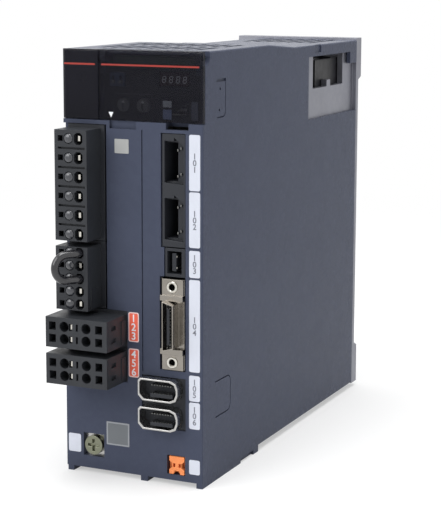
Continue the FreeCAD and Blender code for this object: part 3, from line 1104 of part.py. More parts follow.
def make_io():
    """Input and output connector: metal shell with screw blocks, and its insert."""
    x0, x1 = IO_X - IO_WIDTH / 2, IO_X + IO_WIDTH / 2
    z0, z1 = IO_Z0 + 0.1, IO_Z1 - 0.1
    plate_y, back_y = 0.2, 1.4
    plate = box(x0, x1, plate_y, back_y, z0, z1)
    shapes = [plate]
    for low, high, ear_low, ear_high in ((z1 - IO_END, z1, z1 - IO_END - IO_EAR, z1 - IO_END),
                                         (z0, z0 + IO_END, z0 + IO_END, z0 + IO_END + IO_EAR)):
        shapes.append(box(x0 + 0.4, x1 - 0.2, -0.6, back_y - 0.4, low, high))
        shapes.append(box(x0, x1, -1.6, back_y - 0.4, ear_low, ear_high))
    limits = (IO_X - IO_WIDTH / 4, IO_X + IO_WIDTH / 4,
              z0 + IO_END + IO_EAR - 0.3, z1 - IO_END - IO_EAR + 0.3)
    shapes.append(slab_y(d_outline(*limits, 0), -IO_REACH, back_y - 0.4))
    well = slab_y(d_outline(*limits, SHELL), -IO_REACH - 1, back_y + 1)
    screws = [(IO_X, z0 + IO_END / 2), (IO_X, z1 - IO_END / 2)]
    holes = [rod_y(x, -1, back_y + 1, z, IO_SCREW_RADIUS) for x, z in screws]
    pieces["io_shell"] = cut(joined(shapes), [well] + holes)
    body = column_body(x0 + 0.6, back_y, IO_DEPTH, z0 + 0.6, z1 - 0.6)
    body = body.cut([round_hole(x, z, IO_SCREW_RADIUS, 0, IO_DEPTH - 5) for x, z in screws])
    core = slab_y(d_outline(*limits, SHELL), -IO_REACH + 3.0, back_y + 0.2)
    tongue = box(IO_X - 0.6, IO_X + 0.6, -IO_REACH + 0.8, 0, limits[2] + 2.6, limits[3] - 2.6)
    pieces["io_insert"] = joined([body, core, tongue])


def encoder_outline(z0, inset):
    """Plug outline with small corners on the left and wide ones on the right."""
    x0, x1 = ENCODER_X0 + inset, ENCODER_X1 - inset
    low, high = z0 + inset, z0 + ENCODER_HEIGHT - inset
    a, b, c = 2.0, 0.8, 3.0
    return [(x0, low + a), (x0 + a, low), (x1 - c, low), (x1 - 0.8, low + 0.9), (x1, low + c),
            (x1, high - c), (x1 - 0.8, high - 0.9), (x1 - c, high), (x0 + b, high), (x0, high - b)]


def make_encoders():
    shells, inserts = [], []
    margin, start, seat = 0.2, 2 * PLATE_FRONT, FRONT_WALL - 0.2
    low, high = ENCODER_B_Z - margin, ENCODER_A_Z + ENCODER_HEIGHT + margin
    middle = (ENCODER_B_Z + ENCODER_HEIGHT + ENCODER_A_Z) / 2
    for z0, a, b in ((ENCODER_A_Z, middle, high), (ENCODER_B_Z, low, middle)):
        tube = slab_y(encoder_outline(z0, 0), -ENCODER_REACH, seat)
        shells.append(tube.cut(slab_y(encoder_outline(z0, SHEET), -ENCODER_REACH - 1, seat + 1)))
        body = box(ENCODER_X0 - PLATE_FRONT, COLUMN_X1, start, seat, a, b)
        body = body.cut(slab_y(encoder_outline(z0, 0), 0, seat + 1))
        plug = slab_y(encoder_outline(z0, SHEET), start, FRONT_WALL)
        back = column_body(ENCODER_X0 + 4 * SHEET, seat, ENCODER_DEPTH, a, b)
        tongue = box(ENCODER_X0 + 5.0, ENCODER_X1 - 2.4, -ENCODER_REACH + 0.8, 1, z0 + 1.6, z0 + 3.0)
        inserts.append(joined([body, plug, back, tongue]))
    pieces["encoder_shells"] = group(shells)
    pieces["encoder_inserts"] = group(inserts)


def make_battery_socket():
    x0, x1, z0, z1 = BATTERY_X0, BATTERY_X1, BATTERY_Z0, BATTERY_Z1
    xm, zm = (x0 + x1) / 2, (z0 + z1) / 2
    waist, dent = 1.2, 1.4
    left = x0 + 0.9
    face = slab_y([(left, z0), (xm - 1.0, z0), (xm - 0.4, z0 + dent), (xm + 1.4, z0 + dent), (xm + 2.0, z0),
                   (x1, z0), (x1, z0 + 1.8), (x1 - waist, zm - 0.8), (x1 - waist, zm + 0.8), (x1, z1 - 1.8),
                   (x1, z1), (left, z1), (left, z1 - 1.8), (left + waist, zm + 0.8), (left + waist, zm - 0.8),
                   (left, z0 + 1.8)], -SCREW_HEAD_PROUD, FRONT_WALL)
    body = box(x0, CONTROL_BOARD_X, FRONT_WALL, BATTERY_DEPTH, z0, z1)
    wells = [around(x, zm, 0.9, 1.5, -1, BATTERY_DEPTH - 3) for x in (xm - 0.7, xm + 1.7)]
    pieces["battery_socket"] = cut(joined([face, body]), wells)


def make_earth_terminal():
    size, back = EARTH_SIZE + 2 * EARTH_LAP, FRONT_WALL + EARTH_PLATE
    plate = around(EARTH_X, EARTH_Z, size, size, FRONT_WALL, back)
    strap_z = FLOOR_Z + WALL + STRAP_RISE
    strap = box(EARTH_X, EARTH_X + STRAP_WIDTH, FRONT_WALL + PLATE_ROOT, SINK_FRONT_Y,
                strap_z, strap_z + STRAP_THICKNESS)
    hole = rod_y(EARTH_X, 0, back + 1, EARTH_Z, SCREW_RADIUS)
    pieces["earth_plate"] = cut(joined([plate, strap]), [hole])
    face = -SCREW_HEAD_PROUD
    head = rod_y(EARTH_X, face, FRONT_WALL, EARTH_Z, SCREW_HEAD_RADIUS)
    shank = rod_y(EARTH_X, FRONT_WALL - PLATE_ROOT, back + 4, EARTH_Z, SCREW_RADIUS)
    long, wide = 2 * CROSS_HALF, CROSS_SLOT
    cross = [around(EARTH_X, EARTH_Z, a, b, face - 1, face + 1.3) for a, b in ((long, wide), (wide, long))]
    pieces["earth_screw"] = cut(joined([head, shank]), cross)


# ---- boards and parts inside ------------------------------------------------------------
def make_boards():
    low = REAR_FLOOR_Z + WALL + BOARD_EDGE_GAP
    high = LOW_TOP_Z - WALL - 2 * BOARD_EDGE_GAP
    start, step = FRONT_WALL + 1, OPERATOR_BOARD_Y + BOARD + 3 * BOARD_EDGE_GAP
    shelf_z = PANEL_TOP_Z - SHELF - 2 * BOARD_EDGE_GAP
    pieces["control_board"] = slab_x([(start, low), (BOARD_END_Y, low), (BOARD_END_Y, high), (step, high),
                                      (step, shelf_z), (start, shelf_z)],
                                     CONTROL_BOARD_X, CONTROL_BOARD_X + BOARD)
    rear, bay_z = TERMINAL_BOARD_Y + BOARD, BAY_TOP_Z + 1
    pieces["power_board"] = slab_x([(rear, low), (BOARD_END_Y, low), (BOARD_END_Y, high), (step, high),
                                    (step, bay_z), (rear, bay_z)],
                                   POWER_BOARD_X, POWER_BOARD_X + BOARD)
    g = GUIDE_FIT
    pieces["driver_board"] = box(SINK_LEFT_X + SINK_WALL + g, SINK_RIGHT_X - SINK_WALL - g, DRIVER_BOARD_Y,
                                 DRIVER_BOARD_Y + BOARD, DRIVER_BOARD_Z0, DRIVER_BOARD_Z1)


def make_power_parts():
    """Capacitors, relay and transformer on the power board."""
    x0 = POWER_BOARD_X + BOARD
    can_y = BOARD_END_Y - CAPACITOR_END
    pieces["bus_capacitors"] = group([slab_x(many_sided(can_y, z, CAPACITOR_RADIUS, 2 * ROUND_SIDES),
                                             x0, x0 + CAPACITOR_LENGTH) for z in CAPACITOR_Z])
    y0 = INNER_PARTS_Y
    pieces["inrush_relay"] = box(x0, x0 + RELAY_SIZE[0], y0, y0 + RELAY_SIZE[1],
                                 RELAY_Z, RELAY_Z + RELAY_SIZE[2])
    core_x, middle_y = x0 + CORE_STANDOFF, y0 + CORE_SIZE[1] / 2
    middle_z = PANEL_TOP_Z + CORE_RISE - CORE_SIZE[2] / 2
    core = box(core_x, core_x + CORE_SIZE[0], y0, y0 + CORE_SIZE[1],
               middle_z - CORE_SIZE[2] / 2, middle_z + CORE_SIZE[2] / 2)
    coil = box(x0, x0 + COIL_SIZE[0], middle_y - COIL_SIZE[1] / 2, middle_y + COIL_SIZE[1] / 2,
               middle_z - COIL_SIZE[2] / 2, middle_z + COIL_SIZE[2] / 2)
    pieces["transformer"] = joined([core, coil])


def make_power_modules():
    """Modules on the heat sink, each with a row of pins to the driver board."""
    back = MODULE_PLATE_Y
    depth = back - DRIVER_BOARD_Y - BOARD
    front = back - depth * MODULE_SHARES[1] / sum(MODULE_SHARES)
    first = FAN_X - MODULE_PIN_PITCH * (MODULE_PINS - 1) / 2
    modules = []
    for z in MODULE_Z:
        block = box(FAN_X - MODULE_WIDTH / 2, FAN_X + MODULE_WIDTH / 2, front, back, z, z + MODULE_HEIGHT)
        pins = [around(first + MODULE_PIN_PITCH * i, z + MODULE_PIN_RISE, MODULE_PIN, MODULE_PIN,
                       DRIVER_BOARD_Y + BOARD, front + PLATE_ROOT) for i in range(MODULE_PINS)]
        modules.append(joined([block] + pins))
    pieces["power_modules"] = group(modules)


make_housing()
make_heat_sink()
make_fan()
make_cover()
make_controls()
make_terminals()
make_jacks()
make_io()
make_encoders()
make_battery_socket()
make_earth_terminal()
make_boards()
make_power_parts()
make_power_modules()

for name, shape in pieces.items():
    print(name, shape.isValid(), len(shape.Solids), round(shape.Volume, 1))
os.makedirs("parts", exist_ok=True)
for name, shape in pieces.items():
    shape.translate(vec(0, FACE_Y, 0))
    shape.exportStep("parts/" + name + ".step")
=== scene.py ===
import json
import math

import bmesh
import bpy
from mathutils import Matrix, Vector


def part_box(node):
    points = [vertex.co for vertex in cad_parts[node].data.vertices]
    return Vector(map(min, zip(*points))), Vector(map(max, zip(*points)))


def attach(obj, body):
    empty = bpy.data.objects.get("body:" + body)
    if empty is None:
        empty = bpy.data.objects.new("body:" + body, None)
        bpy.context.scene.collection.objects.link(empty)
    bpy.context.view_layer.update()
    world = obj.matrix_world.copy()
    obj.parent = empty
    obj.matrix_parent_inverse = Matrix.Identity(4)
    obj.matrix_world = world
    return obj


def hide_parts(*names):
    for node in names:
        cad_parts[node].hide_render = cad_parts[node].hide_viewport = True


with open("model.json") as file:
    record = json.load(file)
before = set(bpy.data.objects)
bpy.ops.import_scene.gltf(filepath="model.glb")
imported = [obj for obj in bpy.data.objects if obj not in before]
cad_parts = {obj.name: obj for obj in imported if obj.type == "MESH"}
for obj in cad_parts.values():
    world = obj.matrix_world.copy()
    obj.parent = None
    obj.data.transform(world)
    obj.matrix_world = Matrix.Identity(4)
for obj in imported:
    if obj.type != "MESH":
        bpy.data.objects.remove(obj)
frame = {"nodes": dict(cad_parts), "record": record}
bpy.context.scene.view_settings.view_transform = "Standard"
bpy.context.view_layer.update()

MM = 0.001

# ---- camera: looks a little down on the front from the right -----------------
CAMERA_PLACE = (0.2798, -0.6065, 0.1977)
CAMERA_YAW = 24.59          # degrees, turned from +Y towards -X
CAMERA_PITCH = 8.79         # degrees below the horizon
CAMERA_ROLL = 0.19
CAMERA_LENS = 111.1
CAMERA_SHIFT_Y = -0.08

# ---- light ---------------------------------------------------------------------
WORLD_LIGHT = 0.42
LAMP_SIZE = (0.9, 0.9)
LAMPS = (                   # name, place and target in metres, power
    ("key", (-0.55, -0.9, 0.75), (0, 0, 0.09), 9.0),
    ("top", (0.05, 0.05, 1.1), (0, 0, 0.1), 14.0),
    ("fill", (1.0, -0.5, 0.45), (0, 0, 0.09), 0.8))

# ---- floor, in metres and shares ------------------------------------------------
FLOOR_SIZE = 8
FLOOR_FADE = (0.12, 0.8)    # distances between which the floor fades into the background
FLOOR_GLOW = 0.45           # share of the background's tone at the drive itself

# ---- places on the front, in millimetres ------------------------------------------
FACE_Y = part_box("housing")[0][1] / MM       # front wall
RIGHT_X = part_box("housing")[1][0] / MM      # right side

# ---- labels and print: outlines are (left, right, bottom, top) ---------------------
LABEL = 0.12                # thickness of an adhesive label
PRINT = 0.03                # thickness of print
BEDDING = 0.05              # reach of labels and print into what carries them
COVER_BEDDING = 0.1         # the same on the black front
LABEL_EDGE = 0.04           # rounding of a label's edge
LABEL_RIM = 0.42            # white rim round an orange label
COLUMN_LABEL_INSET = (5.7, 1.1)             # left and right edge to the right side
COLUMN_LABELS = (                           # bottom and top of each
    (115.9, 137.1), (94.2, 115.4), (82.7, 93.1), (46.0, 81.9),
    (34.5, 44.6), (23.5, 34.0), (5.4, 11.2))
NUMBERED_HEIGHT = 8         # labels lower than this stay bare
FIRST_NUMBER = 101
MOTOR_LABEL_X = (-1.8, 2.75)
MOTOR_LABELS = ((55.3, 67.0), (41.2, 52.6))
INPUT_LABEL = (-7.4, -1.3, 128.6, 134.1)
EARTH_LABEL = (-29, -23.4, 7.9, 15.3)
SQUARE_RIM = (-11.8, -1.7, 12.7, 22.1)
SQUARE_LABEL = (-11.2, -2.3, 13.3, 21.5)

# ---- black front -------------------------------------------------------------------
RED_LINE_Z = 162.3
RED_LINE_HALF = 0.33        # half of the red line's width
PULL_ARROW = ((-9.9, 144.3), (-8.85, 142.2), (-7.8, 144.3))
DIGITS = 4
DIGIT_PITCH = 2.9
DIGIT_DROP = 0.2            # digits below the middle of the display
DIGIT_SIZE = (1.25, 2.3)
DIGIT_BAR = 0.36
DIGIT_LEAN = 0.14
DIAL_LINE = (-9.6, 6.4, 150.95, 151.2)
DIAL_TICKS = 10
TICK_REACH = (0.75, 1.15)   # both ends of a tick outside the dial's rim
TICK_HALF = 0.09
COVER_PLATE = 2.0           # back of the cover behind its front
POCKET_WALL_PAINT = (                  # plates behind the cover painted with the light and shade of the pocket's walls
    ("left_upper", (12.3, 15.9, 146.7, 149.2), "pocket_wall_painted_lit"),
    ("left_lower", (12.3, 15.9, 142.2, 145.9), "pocket_wall_painted_half_shade"),
    ("right", (24.2, 26.9, 142.2, 149.2), "pocket_wall_painted_shade"))

# ---- plugs and connectors ------------------------------------------------------------
BUTTONS = (("supply", 6), ("link", 5))      # release buttons of each plug
BUTTON_DOME = 1.25
BUTTON_EDGE = 0.12
WIRE_RADIUS = 1.6
WIRE_BEND = 4.0             # radius of the bends beside the cells
WIRE_SWING = 34             # degrees by which the loop turns to the left
BEND_STEPS = 8
LOOP_STEPS = 24
ENCODER_HEIGHT = 8.8
ENCODER_PITCH = 1.15
ENCODER_FIRST = 5.4         # first contact from the shell's left edge
IO_PITCH = 1.27
SCREW_POST = 3.0            # screw posts of the long connector from its ends
SCREW_POST_PROUD = 0.6      # post's flange in front of the wall
SAFETY_CONTACT = 3.4        # contacts from the socket's ends

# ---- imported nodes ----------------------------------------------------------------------
MOULDED_EDGE = 0.15         # rounding of sharp edges, in millimetres
WIDE_EDGE = 0.25
WIDE_EDGED = ("housing", "heat_sink", "display_cover")

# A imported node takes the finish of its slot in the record, apart from these.
NODE_FINISH = {
    "io_shell": "shell_nickel",
    # the jack contacts take contact metal darkened as painted shade of the jack's inside
    "jack_contacts": "contact_metal_painted_shade",
    "charge_window": "charge_black",
}


def make_camera():
    yaw, pitch, roll = (math.radians(a) for a in (CAMERA_YAW, CAMERA_PITCH, CAMERA_ROLL))
    ahead = math.cos(pitch)
    forward = Vector((-math.sin(yaw) * ahead, math.cos(yaw) * ahead, -math.sin(pitch)))
    level = Vector((math.cos(yaw), math.sin(yaw), 0))
    right = math.cos(roll) * level + math.sin(roll) * level.cross(forward)
    up = right.cross(forward)
    turn = Matrix((right, up, -forward)).transposed().to_4x4()
    data = bpy.data.cameras.new("camera")
    data.lens = CAMERA_LENS
    data.sensor_width = 36
    data.shift_y = CAMERA_SHIFT_Y
    camera = bpy.data.objects.new("camera", data)
    camera.matrix_world = Matrix.Translation(CAMERA_PLACE) @ turn
    bpy.context.scene.collection.objects.link(camera)
    bpy.context.scene.camera = camera


def area_light(name, place, target, power):
    data = bpy.data.lights.new(name, "AREA")
    data.shape = "RECTANGLE"
    data.size, data.size_y = LAMP_SIZE
    data.energy = power
    lamp = bpy.data.objects.new(name, data)
    lamp.location = place
    lamp.rotation_euler = (Vector(target) - Vector(place)).to_track_quat("-Z", "Y").to_euler()
    bpy.context.scene.collection.objects.link(lamp)


def background_rays(nodes, links):
    """Factor of 1 for the rays that see the background itself: camera, mirror and glass rays."""
    path = nodes.new("ShaderNodeLightPath")
    either = nodes.new("ShaderNodeMath")
    either.operation = "MAXIMUM"
    links.new(path.outputs["Is Camera Ray"], either.inputs[0])
    links.new(path.outputs["Is Glossy Ray"], either.inputs[1])
    any_ray = nodes.new("ShaderNodeMath")
    any_ray.operation = "MAXIMUM"
    links.new(either.outputs[0], any_ray.inputs[0])
    links.new(path.outputs["Is Transmission Ray"], any_ray.inputs[1])
    return any_ray.outputs[0]


def make_world():
    world = bpy.data.worlds.new("studio")
    bpy.context.scene.world = world
    world.use_nodes = True
    nodes, links = world.node_tree.nodes, world.node_tree.links
    nodes.clear()
    light = nodes.new("ShaderNodeBackground")
    light.inputs["Color"].default_value = (1, 1, 1, 1)
    light.inputs["Strength"].default_value = WORLD_LIGHT
    seen = nodes.new("ShaderNodeBackground")
    seen.inputs["Color"].default_value = (1, 1, 1, 1)
    seen.inputs["Strength"].default_value = 1.0
    mix = nodes.new("ShaderNodeMixShader")
    out = nodes.new("ShaderNodeOutputWorld")
    links.new(background_rays(nodes, links), mix.inputs[0])
    links.new(light.outputs[0], mix.inputs[1])
    links.new(seen.outputs[0], mix.inputs[2])
    links.new(mix.outputs[0], out.inputs[0])


def make_floor():
    """Pale floor that keeps the drive's shadow and fades into the background further out."""
    bpy.ops.mesh.primitive_plane_add(size=FLOOR_SIZE, location=(0, 0, 0))
    floor = bpy.context.object
    floor.name = "floor"
    material = bpy.data.materials.new("floor")
    material.use_nodes = True
    nodes, links = material.node_tree.nodes, material.node_tree.links
    shader = nodes["Principled BSDF"]
    shader.inputs["Base Color"].default_value = (0.86, 0.86, 0.86, 1)
    shader.inputs["Roughness"].default_value = 0.9
    shader.inputs["Specular IOR Level"].default_value = 0.1
    glow = nodes.new("ShaderNodeEmission")
    glow.inputs["Color"].default_value = (1, 1, 1, 1)
    place = nodes.new("ShaderNodeTexCoord")
    length = nodes.new("ShaderNodeVectorMath")
    length.operation = "LENGTH"
    links.new(place.outputs["Object"], length.inputs[0])
    fade = nodes.new("ShaderNodeMapRange")
    fade.interpolation_type = "SMOOTHSTEP"
    fade.inputs["From Min"].default_value, fade.inputs["From Max"].default_value = FLOOR_FADE
    fade.inputs["To Min"].default_value = FLOOR_GLOW
    links.new(length.outputs["Value"], fade.inputs["Value"])
    factor = nodes.new("ShaderNodeMath")
    factor.operation = "MULTIPLY"
    links.new(fade.outputs[0], factor.inputs[0])
    links.new(background_rays(nodes, links), factor.inputs[1])
    mix = nodes.new("ShaderNodeMixShader")
    links.new(factor.outputs[0], mix.inputs[0])
    links.new(shader.outputs[0], mix.inputs[1])
    links.new(glow.outputs[0], mix.inputs[2])
    links.new(mix.outputs[0], nodes["Material Output"].inputs["Surface"])
    floor.data.materials.append(material)


# ---- materials -------------------------------------------------------------------
def srgb(r, g, b):
    """Screen colour from 0 to 255 as the linear colour that a shader takes."""
    return tuple(((c / 255 + 0.055) / 1.055) ** 2.4 for c in (r, g, b)) + (1,)


def noise(nodes, links, size_mm, detail=2.0, stretch=(1, 1, 1)):
    """Noise whose features are about size_mm wide, drawn out along an axis by stretch."""
    place = nodes.new("ShaderNodeTexCoord")
    mapping = nodes.new("ShaderNodeMapping")
    mapping.inputs["Scale"].default_value = [1 / s for s in stretch]
    links.new(place.outputs["Object"], mapping.inputs["Vector"])
    texture = nodes.new("ShaderNodeTexNoise")
    texture.inputs["Scale"].default_value = 1 / (size_mm * MM)
    texture.inputs["Detail"].default_value = detail
    links.new(mapping.outputs[0], texture.inputs["Vector"])
    return texture.outputs["Fac"]


def remap(nodes, links, value, low, high):
    """Spreads the middle of a noise between two values."""
    node = nodes.new("ShaderNodeMapRange")
    node.inputs["From Min"].default_value = 0.3
    node.inputs["From Max"].default_value = 0.7
    node.inputs["To Min"].default_value = low
    node.inputs["To Max"].default_value = high
    links.new(value, node.inputs["Value"])
    return node.outputs[0]


def tone(nodes, links, factor, colour_a, colour_b):
    """Colour between two, by a factor from 0 to 1."""
    mix = nodes.new("ShaderNodeMix")
    mix.data_type = "RGBA"
    links.new(factor, mix.inputs[0])
    mix.inputs[6].default_value = colour_a
    mix.inputs[7].default_value = colour_b
    return mix.outputs[2]


def scaled(colour, share):
    return tuple(min(1, c * share) for c in colour[:3]) + (1,)


def finish(name, colour, roughness, metallic=0.0, grain_mm=0.4, depth_mm=0.01, blotch=0.06,
           stretch=(1, 1, 1), spread=0.06, coat=0.0, alpha=1.0, specular=0.25):
    """Surface with a fine grain in its relief and slow changes in its colour and gloss."""
    material = bpy.data.materials.new(name)
    material.use_nodes = True
    nodes, links = material.node_tree.nodes, material.node_tree.links
    shader = nodes["Principled BSDF"]
    shader.inputs["Metallic"].default_value = metallic
    shader.inputs["Specular IOR Level"].default_value = 0.5 if metallic else specular
    shader.inputs["Coat Weight"].default_value = coat
    shader.inputs["Coat Roughness"].default_value = 0.08
    shader.inputs["Alpha"].default_value = alpha
    patches = remap(nodes, links, noise(nodes, links, 14, 3.0), 0, 1)
    shade = tone(nodes, links, patches, scaled(colour, 1 - blotch), scaled(colour, 1 + blotch))
    links.new(shade, shader.inputs["Base Color"])
    wear = noise(nodes, links, 3.5, 3.0, stretch)
    gloss = remap(nodes, links, wear, roughness - spread, roughness + spread)
    links.new(gloss, shader.inputs["Roughness"])
    bump = nodes.new("ShaderNodeBump")
    bump.inputs["Strength"].default_value = 1.0
    bump.inputs["Distance"].default_value = depth_mm * MM
    links.new(noise(nodes, links, grain_mm, 2.0, stretch), bump.inputs["Height"])
    links.new(bump.outputs[0], shader.inputs["Normal"])
    return material


def matt(name, colour, roughness, grain_mm, depth_mm, **more):
    """Name and finish of plastic, paper or print, with a grain of this size and depth."""
    return name, finish(name, srgb(*colour), roughness, grain_mm=grain_mm, depth_mm=depth_mm, **more)


def metal(name, colour, roughness, grain_mm, depth_mm, blotch, stretch=(1, 1, 1)):
    """Name and finish of bare metal."""
    return name, finish(name, srgb(*colour), roughness, 1.0, grain_mm, depth_mm, blotch, stretch)


def make_materials():
    """One finish for each material slot of the record, and those of the printed pieces."""
    window = {"spread": 0.04, "specular": 0.12}
    return dict([
        matt("housing_grey", (68, 73, 89), 0.27, 0.35, 0.008, blotch=0.03, specular=0.04),
        metal("cast_aluminium", (134, 135, 143), 0.46, 0.8, 0.03, 0.07),
        matt("black_window", (24, 24, 31), 0.12, 6, 0.002, alpha=0.56, **window),
        matt("charge_black", (24, 24, 31), 0.12, 6, 0.002, alpha=0.86, **window),
        matt("panel_black", (38, 40, 46), 0.55, 0.3, 0.015),
        matt("plug_black", (46, 48, 52), 0.38, 0.3, 0.012, blotch=0.08),
        matt("button_black", (50, 52, 58), 0.20, 1.2, 0.004, coat=0.5, specular=0.6),
        matt("socket_black", (42, 44, 49), 0.45, 0.3, 0.012),
        matt("wire_black", (30, 30, 34), 0.20, 0.8, 0.008, coat=0.4, specular=0.5),
        metal("contact_metal", (205, 202, 194), 0.24, 0.5, 0.006, 0.05),
        # contact metal darkened as painted shade, for contacts deep inside the sockets
        metal("contact_metal_painted_shade", (120, 120, 118), 0.30, 0.5, 0.006, 0.08),
        metal("shell_metal", (178, 177, 175), 0.26, 0.4, 0.008, 0.06, (1, 1, 9)),
        metal("shell_nickel", (146, 141, 134), 0.24, 0.5, 0.012, 0.14),
        metal("screw_metal", (120, 122, 106), 0.22, 0.5, 0.012, 0.12),
        matt("white_plastic", (126, 128, 134), 0.45, 0.3, 0.01),
        matt("blue_plastic", (58, 78, 112), 0.50, 0.3, 0.01),
        matt("display_red", (52, 24, 26), 0.20, 3, 0.002),
        matt("lamp_red", (104, 38, 32), 0.18, 2, 0.002, coat=0.4),
        matt("battery_orange", (234, 140, 84), 0.42, 0.3, 0.01),
        matt("board_green", (38, 92, 64), 0.35, 1.0, 0.02, blotch=0.12),
        matt("capacitor_sleeve", (46, 52, 74), 0.28, 4, 0.01),
        matt("module_body", (52, 52, 55), 0.48, 0.4, 0.012),
        matt("relay_body", (42, 42, 45), 0.42, 0.4, 0.012),
        matt("ferrite", (62, 60, 58), 0.60, 0.6, 0.03, blotch=0.12),
        matt("fan_black", (25, 25, 28), 0.42, 0.4, 0.01),
        matt("label_white", (203, 207, 218), 0.42, 0.25, 0.004, blotch=0.03),
        matt("label_rim", (232, 206, 204), 0.42, 0.25, 0.004, blotch=0.03),
        matt("label_pale", (158, 159, 158), 0.42, 0.25, 0.004, blotch=0.05),
        matt("label_rim_grey", (146, 149, 154), 0.42, 0.25, 0.004),
        matt("label_grey", (104, 108, 112), 0.40, 0.25, 0.004, blotch=0.04),
        matt("label_orange", (232, 104, 82), 0.42, 0.25, 0.004, blotch=0.04),
        # painted light and shade: the pocket's walls behind the cover, lit, in half shade and in
        # shade
        matt("pocket_wall_painted_lit", (226, 236, 255), 0.35, 1, 0.005),
        matt("pocket_wall_painted_half_shade", (166, 184, 236), 0.35, 1, 0.005),
        matt("pocket_wall_painted_shade", (136, 142, 164), 0.35, 1, 0.005),
        matt("print_lit", (214, 218, 226), 0.45, 0.2, 0.003, blotch=0.03),
        matt("print_white", (232, 233, 238), 0.45, 0.2, 0.003, blotch=0.03),
        matt("print_grey", (112, 114, 124), 0.45, 0.2, 0.003, blotch=0.03),
        matt("print_red", (150, 54, 46), 0.40, 0.2, 0.003, blotch=0.05),
    ])


def dress_cad_nodes():
    """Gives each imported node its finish, and its sharp edges a small moulded round."""
    slots = {part["node"]: part["material_slot"] for part in frame["record"]["subparts"]}
    for name, node in frame["nodes"].items():
        node.data.materials.clear()
        node.data.materials.append(materials[NODE_FINISH.get(name, slots[name])])
        round_edges(node, WIDE_EDGE if name in WIDE_EDGED else MOULDED_EDGE)


def round_edges(node, width_mm):
    weld = node.modifiers.new("weld", "WELD")
    weld.merge_threshold = 0.002 * MM
    flatten = node.modifiers.new("flatten", "DECIMATE")
    flatten.decimate_type = "DISSOLVE"
    flatten.angle_limit = math.radians(1)
    bevel = node.modifiers.new("bevel", "BEVEL")
    bevel.width = width_mm * MM
    bevel.segments = 2
    bevel.limit_method = "ANGLE"
    bevel.angle_limit = math.radians(40)
    bevel.harden_normals = True
    bevel.use_clamp_overlap = True
    normals = node.modifiers.new("normals", "WEIGHTED_NORMAL")
    normals.keep_sharp = True


# ---- pieces ----------------------------------------------------------------------
def corners(node):
    """Lowest and highest corner of a CAD node, in millimetres."""
    low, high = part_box(node)
    return Vector(low) / MM, Vector(high) / MM


def place(name, mesh, material, body, edge_mm=0.0):
    """Makes a piece of a mesh, with rounded edges and its finish, riding on a body."""
    mesh.materials.clear()
    mesh.materials.append(materials[material])
    mesh.shade_smooth()
    mesh.set_sharp_from_angle(angle=math.radians(40))
    piece = bpy.data.objects.new(name, mesh)
    bpy.context.scene.collection.objects.link(piece)
    if edge_mm:
        bevel = piece.modifiers.new("bevel", "BEVEL")
        bevel.width = edge_mm * MM
        bevel.segments = 2
        bevel.limit_method = "ANGLE"
        bevel.angle_limit = math.radians(50)
        bevel.harden_normals = True
    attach(piece, body)
    return piece


def prism(outlines, y0, y1):
    """Mesh of flat shapes in X and Z, each drawn out from y0 to y1, in millimetres."""
    bm = bmesh.new()
    for outline in outlines:
        front = [bm.verts.new((x * MM, y0 * MM, z * MM)) for x, z in outline]
        back = [bm.verts.new((x * MM, y1 * MM, z * MM)) for x, z in outline]
        bm.faces.new(front)
        bm.faces.new(back)
        for i in range(len(front)):
            bm.faces.new((front[i - 1], back[i - 1], back[i], front[i]))
    bmesh.ops.recalc_face_normals(bm, faces=bm.faces)
    return to_mesh(bm)


def lathe(profile, x, z, sides=40):
    """Mesh of a profile of radius and y, turned round the line along Y through x and z."""
    bm = bmesh.new()
    rings = []
    for radius, y in profile:
        count = sides if radius > 0 else 1
        angles = [2 * math.pi * i / sides for i in range(count)]
        ring = [(x + radius * math.cos(a), y, z + radius * math.sin(a)) for a in angles]
        rings.append([bm.verts.new([value * MM for value in spot]) for spot in ring])
    for low, high in zip(rings, rings[1:]):
        for i in range(sides):
            corner = [low[i - 1], low[i]] if len(low) > 1 else [low[0]]
            corner += [high[i], high[i - 1]] if len(high) > 1 else [high[0]]
            if len(corner) > 2:
                bm.faces.new(corner)
    bmesh.ops.remove_doubles(bm, verts=bm.verts, dist=1e-7)
    bmesh.ops.recalc_face_normals(bm, faces=bm.faces)
    return to_mesh(bm)


def to_mesh(bm):
    mesh = bpy.data.meshes.new("piece")
    bm.to_mesh(mesh)
    bm.free()
    return mesh


def rounded(x0, x1, z0, z1, radius, steps=5):
    """Outline of a rectangle with round corners."""
    points = []
    for x, z, start in ((x1 - radius, z1 - radius, 0), (x0 + radius, z1 - radius, 90),
                        (x0 + radius, z0 + radius, 180), (x1 - radius, z0 + radius, 270)):
        for i in range(steps + 1):
            a = math.radians(start + 90 * i / steps)
            points.append((x + radius * math.cos(a), z + radius * math.sin(a)))
    return points


def numerals(name, text, x, z, height, y, material, body, spacing=0.8):
    """Plain numbers in thin relief round a middle point; each line stands below the last."""
    data = bpy.data.curves.new(name, "FONT")
    data.body = text
    data.align_x = "CENTER"
    data.size = height / 0.7 * MM
    data.space_line = spacing
    data.extrude = PRINT / 2 * MM
    data.offset = 0.022 * height * MM
    writer = bpy.data.objects.new(name, data)
    mesh = bpy.data.meshes.new_from_object(writer)
    bpy.data.objects.remove(writer)
    points = [v.co for v in mesh.vertices]
    middle = Vector([(min(p[i] for p in points) + max(p[i] for p in points)) / 2 for i in range(3)])
    upright = Matrix.Rotation(math.radians(90), 4, "X")
    spot = Vector((x, y - PRINT / 2, z)) * MM
    mesh.transform(Matrix.Translation(spot) @ upright @ Matrix.Translation(-middle))
    return place(name, mesh, material, body)


def label(name, outline, corner, material):
    """Adhesive label on the front wall."""
    mesh = prism([rounded(*outline, corner)], FACE_Y - LABEL, FACE_Y + BEDDING)
    place(name, mesh, material, "chassis", LABEL_EDGE)


def printed(name, outlines, surface, material, body, root=BEDDING):
    """Print on a surface that faces the front; root is how far it reaches into it."""
    place(name, prism(outlines, surface - PRINT, surface + root), material, body)


